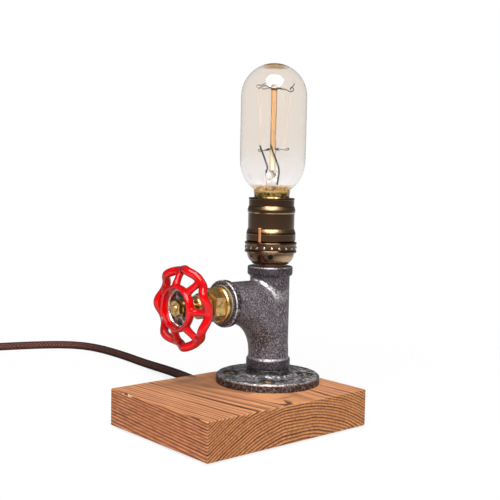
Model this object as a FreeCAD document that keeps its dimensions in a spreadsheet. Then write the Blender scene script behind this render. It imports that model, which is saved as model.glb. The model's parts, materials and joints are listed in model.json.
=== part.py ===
"""Pipe table lamp: a wood block, a floor flange, a sweep tee with a handwheel on its branch,
a brass lampholder on its top and a tubular filament bulb.

Frame: millimetres, +Z up, origin on the table under the middle of the wood block.  The handwheel
points along -X, the front is -Y and the cord leaves at +Y.  Every driving size is a cell of the
sheet "Sizes"; shapes are bound to those cells."""
import FreeCAD, Part
import Sketcher
import math
import os

V = FreeCAD.Vector
doc = FreeCAD.newDocument("pipe_lamp")
sheet = doc.addObject("Spreadsheet::Sheet", "Sizes")

SIZES = [
    # wood block on four felt pads
    ("block_length", 137.4), ("block_width", 104.1), ("block_height", 25.0), ("block_edge", 0.9),
    ("pad_height", 1.0), ("pad_radius", 8.0), ("pad_inset", 15.0),
    # the lamp's upright axis, and the cable's way through the block
    ("lamp_x", 30.4), ("lamp_y", 5.7),
    ("cable_bore", 6.5), ("cord_bore", 4.0), ("cord_exit_z", 10.0),
    # floor flange and its screws
    ("flange_radius", 36.1), ("flange_plate", 5.6), ("flange_height", 10.5), ("flange_hub", 14.9),
    ("flange_circle", 26.0), ("flange_turn", 47.6), ("sink_radius", 4.6), ("hole_radius", 2.7),
    ("screw_head", 4.2), ("screw_shank", 1.9), ("screw_length", 16.0),
    # half inch pipe thread, drawn smooth
    ("thread_radius", 10.4), ("nipple_bore", 7.8), ("nipple_length", 23.0),
    # sweep tee
    ("tee_height", 70.8), ("run_radius", 13.7), ("branch_radius", 14.0), ("tee_cavity", 11.0),
    ("low_bead", 15.35), ("top_bead", 15.65), ("mouth_bead", 15.9),
    ("low_bead_width", 7.1), ("top_bead_width", 6.5), ("mouth_bead_width", 5.0),
    ("branch_rise", 47.4), ("branch_reach", 43.2), ("sweep_radius", 37.0), ("socket_depth", 13.5),
    # brass bonnet and gland on the branch
    ("gasket", 0.8), ("shoulder_radius", 12.3), ("shoulder_width", 3.2), ("bonnet_flats", 20.0),
    ("bonnet_hex", 8.6), ("gland_flats", 15.0), ("gland_width", 8.0), ("stem_radius", 3.0),
    ("stem_gap", 0.06), ("dimmer_radius", 7.0), ("sleeve_radius", 4.6),
    # handwheel, distances along the branch from the lamp's axis
    ("rim_radius", 24.0), ("rim_at", 73.4), ("lobe_radius", 25.2), ("lobe_at", 76.9),
    ("rim_tube", 2.9), ("knuckle", 3.1), ("spoke_tube", 2.7), ("first_lobe", 75.0),
    ("cup_radius", 15.4), ("cup_inside", 12.7), ("cup_back", 74.8), ("cup_lip", 82.5),
    ("cup_floor", 77.0), ("boss_radius", 6.2), ("boss_back", 70.0), ("spoke_root", 80.0),
    ("plate_radius", 12.4), ("wheel_nut_flats", 9.6), ("wheel_nut_width", 3.2),
    # lampholder
    ("washer_height", 1.6), ("ring_rise", 7.75), ("core_rise", 11.5), ("contact_gap", 0.3),
    ("cap_base_radius", 13.0), ("cap_radius", 16.2), ("cap_wall", 1.0),
    ("set_screw_hole", 1.8), ("set_screw_rise", 5.7), ("set_screw_turn", 227.0),
    ("ring_radius", 18.0), ("ring_height", 7.4), ("band_radius", 17.05), ("shell_radius", 16.0),
    ("bead_radius", 16.5), ("mouth_radius", 15.6), ("shell_inside", 15.1),
    ("holder_top", 154.3), ("tab_turn", 201.0),
    # bulb
    ("bulb_radius", 22.5), ("bulb_wall", 0.9), ("bulb_top", 245.7), ("bulb_cap_radius", 13.0),
    ("skirt_radius", 12.6), ("glass_neck", 11.4), ("rod_radius", 2.0),
    # mains lead
    ("cord_radius", 3.6), ("bush_length", 24.0), ("coil_radius", 48.0), ("coil_pitch", 7.3),
    ("coil_turns", 2.66), ("plug_length", 36.0), ("plug_width", 34.0), ("plug_height", 13.6),
    ("pin_spacing", 18.6), ("pin_radius", 2.0), ("pin_length", 19.0),
]

NODES = []


class Size:
    """A number that keeps the sheet formula it was worked out with, so that it can be bound."""

    def __init__(self, value, formula):
        self.value = value
        self.formula = formula

    def __add__(self, other):
        return Size(self.value + number(other), "(%s + %s)" % (self.formula, formula(other)))

    def __sub__(self, other):
        return Size(self.value - number(other), "(%s - %s)" % (self.formula, formula(other)))

    def __mul__(self, other):
        return Size(self.value * number(other), "(%s * %s)" % (self.formula, formula(other)))

    def __truediv__(self, other):
        return Size(self.value / number(other), "(%s / %s)" % (self.formula, formula(other)))

    def __neg__(self):
        return Size(-self.value, "(0 - %s)" % self.formula)


def number(size):
    return size.value if isinstance(size, Size) else float(size)


def formula(size):
    return size.formula if isinstance(size, Size) else "%.6g" % size


def fill_sheet():
    """Writes each driving size as a plain number with its alias, and returns them by name."""
    sizes = {}
    for row, (alias, value) in enumerate(SIZES, start=1):
        sheet.set("A%d" % row, alias)
        sheet.set("B%d" % row, "%g" % value)
        sheet.setAlias("B%d" % row, alias)
        sizes[alias] = Size(value, "Sizes.%s" % alias)
    doc.recompute()
    return sizes


S = fill_sheet()
AXIS_UP = FreeCAD.Rotation()
AXIS_TO_WHEEL = FreeCAD.Rotation(V(0, 1, 0), -90)
AXIS_TO_REAR = FreeCAD.Rotation(V(1, 0, 0), -90)

BLOCK_TOP = S["pad_height"] + S["block_height"]
FLANGE_TOP = BLOCK_TOP + S["flange_height"]
TEE_TOP = FLANGE_TOP + S["tee_height"]
BRANCH_Z = FLANGE_TOP + S["branch_rise"]
CAP_BASE = TEE_TOP + S["washer_height"]


def bind(item, **sizes):
    """Sets properties of an object from sizes, and binds them to the sheet."""
    for name, size in sizes.items():
        setattr(item, name, number(size))
        if isinstance(size, Size):
            item.setExpression(name, size.formula)
    return item


def place(item, x=0.0, y=0.0, z=0.0, rotation=AXIS_UP):
    item.Placement = FreeCAD.Placement(V(number(x), number(y), number(z)), rotation)
    for axis, size in (("x", x), ("y", y), ("z", z)):
        if isinstance(size, Size):
            item.setExpression("Placement.Base." + axis, size.formula)
    return item


def place_upright(item):
    return place(item, S["lamp_x"], S["lamp_y"])


def place_branch(item):
    return place(item, S["lamp_x"], S["lamp_y"], BRANCH_Z, AXIS_TO_WHEEL)


def node(item, name):
    """Registers an object as a sub-part under its own name."""
    item.Label = name
    NODES.append(item)
    return item


def new_body(name):
    return doc.addObject("PartDesign::Body", name + "_body")


def new_sketch(body, role, name):
    plane = [f for f in body.Origin.OriginFeatures if f.Role == role][0]
    sketch = body.newObject("Sketcher::SketchObject", name)
    sketch.AttachmentSupport = [(plane, "")]
    sketch.MapMode = "FlatFace"
    return sketch


def pin_point(sketch, geometry, end, corner):
    """Holds a point of the sketch at the given sizes along both sketch axes."""
    for kind, size, axis in (("DistanceX", corner[0], -2), ("DistanceY", corner[1], -1)):
        if number(size) == 0.0:
            sketch.addConstraint(Sketcher.Constraint("PointOnObject", geometry, end, axis))
            continue
        rule = Sketcher.Constraint(kind, -1, 1, geometry, end, number(size))
        index = sketch.addConstraint(rule)
        if isinstance(size, Size):
            sketch.setExpression("Constraints[%d]" % index, size.formula)


def arc_middle(start, end, bulge):
    """Middle point of the short arc from start to end; a positive radius bulges to the right."""
    chord = end - start
    half = chord.Length / 2.0
    rise = abs(bulge) - math.sqrt(bulge * bulge - half * half)
    right = V(chord.y, -chord.x, 0).normalize()
    return (start + end) / 2.0 + right * math.copysign(rise, bulge)


def draw_outline(sketch, corners):
    """Closed outline.  A corner is (x, y), or (x, y, radius) where an arc runs to the next one."""
    spots = [V(number(c[0]), number(c[1]), 0) for c in corners]
    ends = []
    for i, corner in enumerate(corners):
        start, end = spots[i], spots[(i + 1) % len(corners)]
        if len(corner) == 3:
            middle = arc_middle(start, end, number(corner[2]))
            index = sketch.addGeometry(Part.Arc(start, middle, end))
            forward = (sketch.getPoint(index, 1) - start).Length < 1e-6
            ends.append((index, 1, 2) if forward else (index, 2, 1))
        else:
            ends.append((sketch.addGeometry(Part.LineSegment(start, end)), 1, 2))
    for i, (index, first, last) in enumerate(ends):
        following = ends[(i + 1) % len(ends)]
        sketch.addConstraint(
            Sketcher.Constraint("Coincident", index, last, following[0], following[1]))
        pin_point(sketch, index, first, corners[i])
        if len(corners[i]) == 3:
            radius = abs(number(corners[i][2]))
            sketch.addConstraint(Sketcher.Constraint("Radius", index, radius))


def turned_body(name, corners):
    """A body turned about its own Z axis from an outline of (radius, height) corners."""
    body = new_body(name)
    sketch = new_sketch(body, "XZ_Plane", name + "_profile")
    draw_outline(sketch, corners)
    turn = body.newObject("PartDesign::Revolution", name + "_turn")
    turn.Profile = sketch
    turn.ReferenceAxis = (sketch, ["V_Axis"])
    turn.Angle = 360
    body.Tip = turn
    return body


def turned(name, corners, placed=place_upright):
    return node(placed(turned_body(name, corners)), name)


def tube_corners(inside, outside, low, high):
    return [(inside, low), (outside, low), (outside, high), (inside, high)]


def disc_corners(radius, low, high):
    return [(0.0, low), (radius, low), (radius, high), (0.0, high)]


def hex_blank(name, flats, low, high, bore, placed):
    """A hexagon with its corners turned off at both ends, bored through."""
    corner = flats / math.sqrt(3.0)
    soft = corner * 0.12
    blank = placed(turned_body(name + "_blank", [
        (bore, low), (corner - soft, low), (corner, low + soft * 0.6),
        (corner, high - soft * 0.6), (corner - soft, high), (bore, high)]))
    prism = doc.addObject("Part::Prism", name + "_prism")
    prism.Polygon = 6
    bind(prism, Circumradius=corner, Height=high - low)
    placed(prism)
    if placed is place_branch:
        place(prism, S["lamp_x"] - low, S["lamp_y"], BRANCH_Z, AXIS_TO_WHEEL)
    else:
        place(prism, S["lamp_x"], S["lamp_y"], low)
    common = doc.addObject("Part::Common", name + "_hex")
    common.Base = blank
    common.Tool = prism
    return common


def fused(name, *pieces):
    fuse = doc.addObject("Part::MultiFuse", name + "_fuse")
    fuse.Shapes = list(pieces)
    return fuse


def cut(name, base, tool):
    result = doc.addObject("Part::Cut", name + "_cut")
    result.Base = base
    result.Tool = tool
    return result


def cylinder(name, radius, height, x, y, z, rotation=AXIS_UP):
    item = doc.addObject("Part::Cylinder", name)
    bind(item, Radius=radius, Height=height)
    return place(item, x, y, z, rotation)


def shaped(name, shape):
    item = doc.addObject("Part::Feature", name + "_shape")
    item.Shape = shape
    return node(item, name)


def n(name):
    return S[name].value


# ---------------------------------------------------------------- base

def pad_spots():
    """Centres of the four felt pads."""
    x = n("block_length") / 2.0 - n("pad_inset")
    y = n("block_width") / 2.0 - n("pad_inset")
    return [(sx * x, sy * y) for sx in (-1, 1) for sy in (-1, 1)]


def screw_spots():
    turns = [math.radians(n("flange_turn") + 90.0 * i) for i in range(4)]
    reach = n("flange_circle")
    return [(n("lamp_x") + reach * math.cos(a), n("lamp_y") + reach * math.sin(a)) for a in turns]


def make_wood_base():
    box = doc.addObject("Part::Box", "block")
    bind(box, Length=S["block_length"], Width=S["block_width"], Height=S["block_height"])
    place(box, -(S["block_length"] / 2), -(S["block_width"] / 2), S["pad_height"])
    doc.recompute()
    rounded = doc.addObject("Part::Fillet", "block_rounded")
    rounded.Base = box
    rounded.Edges = [(i + 1, n("block_edge"), n("block_edge")) for i in range(12)]
    shank_depth = S["screw_length"] - S["flange_plate"]
    bores = [
        cylinder("cable_way", S["cable_bore"], S["block_height"] + 2, S["lamp_x"], S["lamp_y"],
                 S["pad_height"] - 1),
        cylinder("cord_way", S["cord_bore"], S["block_width"] / 2 + 1 - S["lamp_y"], S["lamp_x"],
                 S["lamp_y"], S["cord_exit_z"], AXIS_TO_REAR),
        cylinder("bush_seat", 5.0, 13.0, S["lamp_x"], S["block_width"] / 2 - 12,
                 S["cord_exit_z"], AXIS_TO_REAR),
    ]
    for i, (x, y) in enumerate(screw_spots()):
        bores.append(cylinder("pilot_%d" % i, S["screw_shank"], shank_depth + 1, x, y,
                              BLOCK_TOP - shank_depth))
    node(cut("wood_base", rounded, fused("bores", *bores)), "wood_base")


def make_felt_pads():
    discs = [Part.makeCylinder(n("pad_radius"), n("pad_height"), V(x, y, 0))
             for x, y in pad_spots()]
    shaped("felt_pads", Part.makeCompound(discs))


def make_floor_flange():
    """Plate with a thread hub, one countersunk hole turned out of it and repeated four times."""
    low, plate, top = BLOCK_TOP, BLOCK_TOP + S["flange_plate"], FLANGE_TOP
    body = turned_body("floor_flange", [
        (S["thread_radius"], low), (S["flange_radius"], low), (S["flange_radius"], plate - 1.0),
        (S["flange_radius"] - 1.0, plate), (S["flange_hub"] + 2.4, plate, -2.4),
        (S["flange_hub"], plate + 2.4), (S["flange_hub"], top - 0.6),
        (S["flange_hub"] - 0.6, top), (S["thread_radius"], top)])
    sketch = new_sketch(body, "XZ_Plane", "flange_hole_profile")
    middle = S["flange_circle"]
    draw_outline(sketch, [
        (middle, low - 1), (middle + S["hole_radius"], low - 1),
        (middle + S["hole_radius"], plate - (S["sink_radius"] - S["hole_radius"]) - 0.4),
        (middle + S["sink_radius"], plate - 0.4), (middle + S["sink_radius"], plate + 1),
        (middle, plate + 1)])
    axis = sketch.addGeometry(Part.LineSegment(V(number(middle), number(low) - 5, 0),
                                               V(number(middle), number(plate) + 5, 0)), True)
    pin_point(sketch, axis, 1, (middle, low - 5))
    pin_point(sketch, axis, 2, (middle, plate + 5))
    hole = body.newObject("PartDesign::Groove", "flange_hole")
    hole.Profile = sketch
    hole.ReferenceAxis = (sketch, ["Axis0"])
    hole.Angle = 360
    pattern = body.newObject("PartDesign::PolarPattern", "flange_holes")
    pattern.Originals = [hole]
    pattern.Axis = (body.Origin.OriginFeatures[2], [""])
    pattern.Angle = 360
    pattern.Occurrences = 4
    body.Tip = pattern
    rotation = FreeCAD.Rotation(V(0, 0, 1), n("flange_turn"))
    node(place(body, S["lamp_x"], S["lamp_y"], 0, rotation), "floor_flange")


def make_flange_screws():
    """Countersunk wood screws, heads sunk in the flange and points in the block."""
    plate = number(BLOCK_TOP) + n("flange_plate")
    head, shank, length = n("screw_head"), n("screw_shank"), n("screw_length")
    neck = plate - 0.6 - (head - shank)
    side = [V(0, 0, plate), V(head * 0.6, 0, plate - 0.1), V(head, 0, plate - 0.6),
            V(shank, 0, neck), V(shank, 0, plate - length + 3), V(0, 0, plate - length)]
    face = Part.Face(Part.makePolygon(side + side[:1]))
    screw = face.revolve(V(0, 0, 0), V(0, 0, 1), 360)
    slot = Part.makeBox(2.2 * head, 0.9, 1.2, V(-1.1 * head, -0.45, plate - 0.9))
    screws = []
    for turn, (x, y) in zip((20, 75, 140, 48), screw_spots()):
        slotted = screw.cut(slot)
        slotted.rotate(V(0, 0, 0), V(0, 0, 1), turn)
        slotted.translate(V(x, y, 0))
        screws.append(slotted)
    shaped("flange_screws", Part.makeCompound(screws))


def make_cord_bush():
    """Rubber strain relief: a shank in the block, a flange on its rear face and a ribbed taper."""
    rear = S["block_width"] / 2
    tip = rear + S["bush_length"]
    bore = S["cord_radius"]
    corners = [(bore, rear - 12), (5.0, rear - 12), (5.0, rear), (8.0, rear), (8.0, rear + 1.6),
               (7.2, rear + 2.6), (6.4, rear + 2.6)]
    for i in range(4):
        start = rear + 6.0 + 4.2 * i
        radius = 6.3 - 0.35 * i
        corners += [(radius, start), (radius - 0.9, start + 0.5), (radius - 0.9, start + 1.4),
                    (radius - 0.1, start + 1.9)]
    corners += [(4.9, tip), (bore, tip)]
    body = turned_body("cord_bush", corners)
    node(place(body, S["lamp_x"], 0, S["cord_exit_z"], AXIS_TO_REAR), "cord_bush")


# ---------------------------------------------------------------- pipework

def make_sweep_tee():
    """The run is turned and the branch is swept down into it, then both are hollowed alike."""
    low, top = FLANGE_TOP, TEE_TOP
    run, thread, cavity = S["run_radius"], S["thread_radius"], S["tee_cavity"]
    low_end, top_start = low + S["low_bead_width"], top - S["top_bead_width"]
    body = turned_body("sweep_tee", [
        (0.0, low), (S["low_bead"] - 0.8, low), (S["low_bead"], low + 0.8),
        (S["low_bead"], low_end - 1.0, 1.1), (S["low_bead"] - 1.0, low_end),
        (run, low_end), (run, top_start), (S["top_bead"] - 1.0, top_start, 1.1),
        (S["top_bead"], top_start + 1.0), (S["top_bead"], top - 0.8), (S["top_bead"] - 0.8, top),
        (0.0, top)])
    bend_z = BRANCH_Z - S["sweep_radius"]

    def sweep_path(name, start, end):
        """Up the run, round the sweep and out along the branch."""
        path = new_sketch(body, "XZ_Plane", name)
        reach = S["sweep_radius"]
        foot, knee, hip, mouth = (0.0, start), (0.0, bend_z), (-reach, BRANCH_Z), (-end, BRANCH_Z)
        spots = [V(number(x), number(y), 0) for x, y in (foot, knee, hip, mouth)]
        path.addGeometry(Part.LineSegment(spots[0], spots[1]))
        centre = V(-number(reach), number(bend_z), 0)
        slant = V(math.cos(math.pi / 4), math.sin(math.pi / 4), 0)
        middle = centre + slant * number(reach)
        path.addGeometry(Part.Arc(spots[1], middle, spots[2]))
        path.addGeometry(Part.LineSegment(spots[2], spots[3]))
        for geometry, end_index, spot in ((0, 1, foot), (0, 2, knee), (2, 1, hip), (2, 2, mouth)):
            pin_point(path, geometry, end_index, spot)
        path.addConstraint(Sketcher.Constraint("Coincident", 0, 2, 1, 1))
        path.addConstraint(Sketcher.Constraint("Coincident", 1, 2, 2, 1))
        index = path.addConstraint(Sketcher.Constraint("Radius", 1, number(reach)))
        path.setExpression("Constraints[%d]" % index, reach.formula)
        return path

    def sweep_section(name, radius, height):
        section = new_sketch(body, "XY_Plane", name)
        section.AttachmentOffset = FreeCAD.Placement(V(0, 0, number(height)), AXIS_UP)
        section.setExpression("AttachmentOffset.Base.z", formula(height))
        section.addGeometry(Part.Circle(V(0, 0, 0), V(0, 0, 1), number(radius)))
        section.addConstraint(Sketcher.Constraint("Coincident", 0, 3, -1, 1))
        index = section.addConstraint(Sketcher.Constraint("Radius", 0, number(radius)))
        section.setExpression("Constraints[%d]" % index, radius.formula)
        return section

    outer = body.newObject("PartDesign::AdditivePipe", "sweep_outside")
    outer.Profile = sweep_section("sweep_outer_section", S["branch_radius"], low + 2)
    outer.Spine = sweep_path("sweep_outer_path", low + 2, S["branch_reach"] - 1.0)

    def branch_turned(kind, name, corners):
        """Turns an outline, drawn over the branch's axis, about that axis."""
        profile = new_sketch(body, "XZ_Plane", name + "_profile")
        draw_outline(profile, corners)
        start, end = -n("branch_reach"), -n("branch_reach") + 9
        line = Part.LineSegment(V(start, number(BRANCH_Z), 0), V(end, number(BRANCH_Z), 0))
        axis = profile.addGeometry(line, True)
        pin_point(profile, axis, 1, (-S["branch_reach"], BRANCH_Z))
        pin_point(profile, axis, 2, (-S["branch_reach"] + 9, BRANCH_Z))
        turn = body.newObject(kind, name)
        turn.Profile = profile
        turn.ReferenceAxis = (profile, ["Axis0"])
        turn.Angle = 360
        return turn

    mouth = S["branch_reach"]
    branch_top = BRANCH_Z + S["branch_radius"]
    branch_turned("PartDesign::Revolution", "straight_branch", [
        (-mouth + 1, BRANCH_Z), (-mouth + 1, branch_top), (0.0, branch_top), (0.0, BRANCH_Z)])
    bead_top = BRANCH_Z + S["mouth_bead"]
    bead_end = -mouth + S["mouth_bead_width"]
    branch_turned("PartDesign::Revolution", "mouth_bead", [
        (-mouth, BRANCH_Z), (-mouth, bead_top - 0.9), (-mouth + 0.9, bead_top),
        (bead_end - 1.2, bead_top), (bead_end, bead_top - 1.2), (bead_end, BRANCH_Z)])

    bore = new_sketch(body, "XZ_Plane", "run_bore_profile")
    depth = S["socket_depth"]
    draw_outline(bore, [
        (0.0, low - 1), (thread, low - 1), (thread, low + depth), (cavity - 1.0, low + depth + 1),
        (cavity - 1.0, top - depth - 1), (thread, top - depth), (thread, top + 1), (0.0, top + 1)])
    run_bore = body.newObject("PartDesign::Groove", "run_bore")
    run_bore.Profile = bore
    run_bore.ReferenceAxis = (bore, ["V_Axis"])
    run_bore.Angle = 360

    inner = body.newObject("PartDesign::SubtractivePipe", "sweep_inside")
    inner.Profile = sweep_section("sweep_inner_section", cavity, bend_z - 1.5)
    inner.Spine = sweep_path("sweep_inner_path", bend_z - 1.5, S["sweep_radius"] + 0.6)

    body.Tip = branch_turned("PartDesign::Groove", "mouth_bore", [
        (-mouth - 1, BRANCH_Z), (-mouth - 1, BRANCH_Z + thread),
        (-mouth + 10, BRANCH_Z + thread), (-mouth + 10, BRANCH_Z)])
    node(place_upright(body), "sweep_tee")


def make_pipework():
    start = BLOCK_TOP + 0.4
    turned("close_nipple", tube_corners(S["nipple_bore"], S["thread_radius"], start,
                                        start + S["nipple_length"]))
    make_sweep_tee()
    turned("tee_bush", tube_corners(4.95, S["thread_radius"], TEE_TOP - 8, TEE_TOP))


# ---------------------------------------------------------------- bonnet, gland and dimmer

def make_branch_fittings():
    face = S["branch_reach"]
    shoulder = face + S["gasket"]
    hex_start = shoulder + S["shoulder_width"]
    hex_end = hex_start + S["bonnet_hex"]
    run_bore = S["stem_radius"] + S["stem_gap"]
    turned("bonnet_gasket", tube_corners(S["thread_radius"], S["shoulder_radius"] + 0.3, face,
                                         shoulder), place_branch)
    core = place_branch(turned_body("bonnet_core", [
        (6.0, face - 9), (S["thread_radius"], face - 9), (S["thread_radius"], shoulder),
        (S["shoulder_radius"] - 0.4, shoulder), (S["shoulder_radius"], shoulder + 0.4),
        (S["shoulder_radius"], hex_start - 0.7), (S["shoulder_radius"] - 0.7, hex_start),
        (8.0, hex_start), (8.0, hex_end), (6.4, hex_end), (6.4, hex_end + 3.0),
        (run_bore, hex_end + 3.0), (run_bore, hex_end - 5), (6.0, hex_end - 7)]))
    flats = hex_blank("bonnet_hexagon", S["bonnet_flats"], hex_start, hex_end, 7.5, place_branch)
    node(fused("valve_bonnet", core, flats), "valve_bonnet")

    gland_start = hex_end + 0.4
    gland_end = gland_start + S["gland_width"]
    gland = hex_blank("gland_hexagon", S["gland_flats"], gland_start, gland_end, 6.4, place_branch)
    crown = place_branch(turned_body("gland_crown", [
        (run_bore + 0.3, gland_end - 2.5), (6.6, gland_end - 2.5), (6.6, gland_end),
        (5.4, gland_end + 1.6), (run_bore + 0.3, gland_end + 1.6)]))
    node(fused("gland_nut", gland, crown), "gland_nut")
    turned("gland_packing", tube_corners(run_bore, 6.3, hex_end + 3.0, gland_end - 2.5),
           place_branch)

    neck = face - 9
    turned("dimmer_body", [
        (0.0, neck - 10.2), (S["dimmer_radius"], neck - 10.2), (S["dimmer_radius"], neck),
        (6.0, neck), (6.0, neck + 2.2), (run_bore, neck + 2.2), (run_bore, neck - 5),
        (0.0, neck - 5)], place_branch)
    joint = neck + 5.0
    turned("dimmer_shaft", disc_corners(S["stem_radius"], neck - 4.5, joint), place_branch)
    turned("stem_sleeve", tube_corners(S["stem_radius"], S["sleeve_radius"], neck + 2.6,
                                       joint + 3.2), place_branch)
    seat = S["cup_floor"]
    turned("valve_stem", [
        (0.0, joint), (S["stem_radius"], joint), (S["stem_radius"], seat), (2.4, seat),
        (2.4, seat + 4.9), (1.9, seat + 5.5), (0.0, seat + 5.5)], place_branch)


# ---------------------------------------------------------------- handwheel

def wheel_point(radius, along, turn):
    """Point of the wheel in the branch's own frame; turn runs from the front face upwards."""
    angle = math.radians(turn)
    return V(radius * math.sin(angle), -radius * math.cos(angle), along)


def rim_tube(start, middle, end, radius):
    """Round bar bent along the arc through three points: an exact piece of a torus."""
    centre = Part.Arc(start, middle, end).toShape().Curve.Center
    normal = (middle - start).cross(end - start).normalize()
    tangent = normal.cross(start - centre).normalize()
    face = Part.Face(Part.Wire([Part.Circle(start, tangent, radius).toShape()]))
    sweep = math.degrees((start - centre).getAngle(end - centre))
    return face.revolve(centre, normal, sweep)


def make_handwheel():
    """Seven petals: each is a bent bar between two spokes, bowed outwards and away from the pipe.

    The spokes slope back from the lip of a cup that holds the plate and the nut."""
    petals = 7
    step = 360.0 / petals
    bars = []
    for i in range(petals):
        crown = n("first_lobe") - i * step
        before = wheel_point(n("rim_radius"), n("rim_at"), crown - step / 2)
        bow = wheel_point(n("lobe_radius"), n("lobe_at"), crown)
        after = wheel_point(n("rim_radius"), n("rim_at"), crown + step / 2)
        root = wheel_point(n("cup_inside") - 1.0, n("spoke_root"), crown + step / 2)
        bars.append(rim_tube(before, bow, after, n("rim_tube")))
        bars.append(Part.makeSphere(n("knuckle"), after))
        bars.append(Part.makeCylinder(n("spoke_tube"), (after - root).Length, root, after - root))
    rim = doc.addObject("Part::Feature", "wheel_rim")
    rim.Shape = bars[0].fuse(bars[1:])
    place_branch(rim)

    out, floor, lip, back = S["cup_radius"], S["cup_floor"], S["cup_lip"], S["cup_back"]
    inside, boss, stem = S["cup_inside"], S["boss_radius"], S["stem_radius"]
    heel = S["boss_back"]
    cup = place_branch(turned_body("wheel_cup", [
        (stem, heel), (boss - 1, heel), (boss, heel + 1), (boss, back), (out - 3, back, 3.0),
        (out, back + 3), (out, lip - 1.9, 1.9), (out - 1.9, lip), (stem, lip)]))
    hollow = cylinder("wheel_hollow", inside, 20.0, S["lamp_x"] - floor, S["lamp_y"], BRANCH_Z,
                      AXIS_TO_WHEEL)
    node(cut("handwheel", fused("wheel", cup, rim), hollow), "handwheel")


def make_wheel_fixings():
    floor = S["cup_floor"]
    turned("wheel_plate", [
        (2.5, floor), (S["plate_radius"], floor), (S["plate_radius"], floor + 1.3),
        (S["plate_radius"] - 0.9, floor + 1.3), (S["plate_radius"] - 1.3, floor + 0.6),
        (2.5, floor + 0.6)], place_branch)
    turned("wheel_washer", tube_corners(2.5, 5.6, floor + 0.6, floor + 1.4), place_branch)
    start = floor + 1.4
    nut = hex_blank("wheel_nut", S["wheel_nut_flats"], start, start + S["wheel_nut_width"], 2.4,
                    place_branch)
    node(nut, "wheel_nut")


# ---------------------------------------------------------------- lampholder

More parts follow.
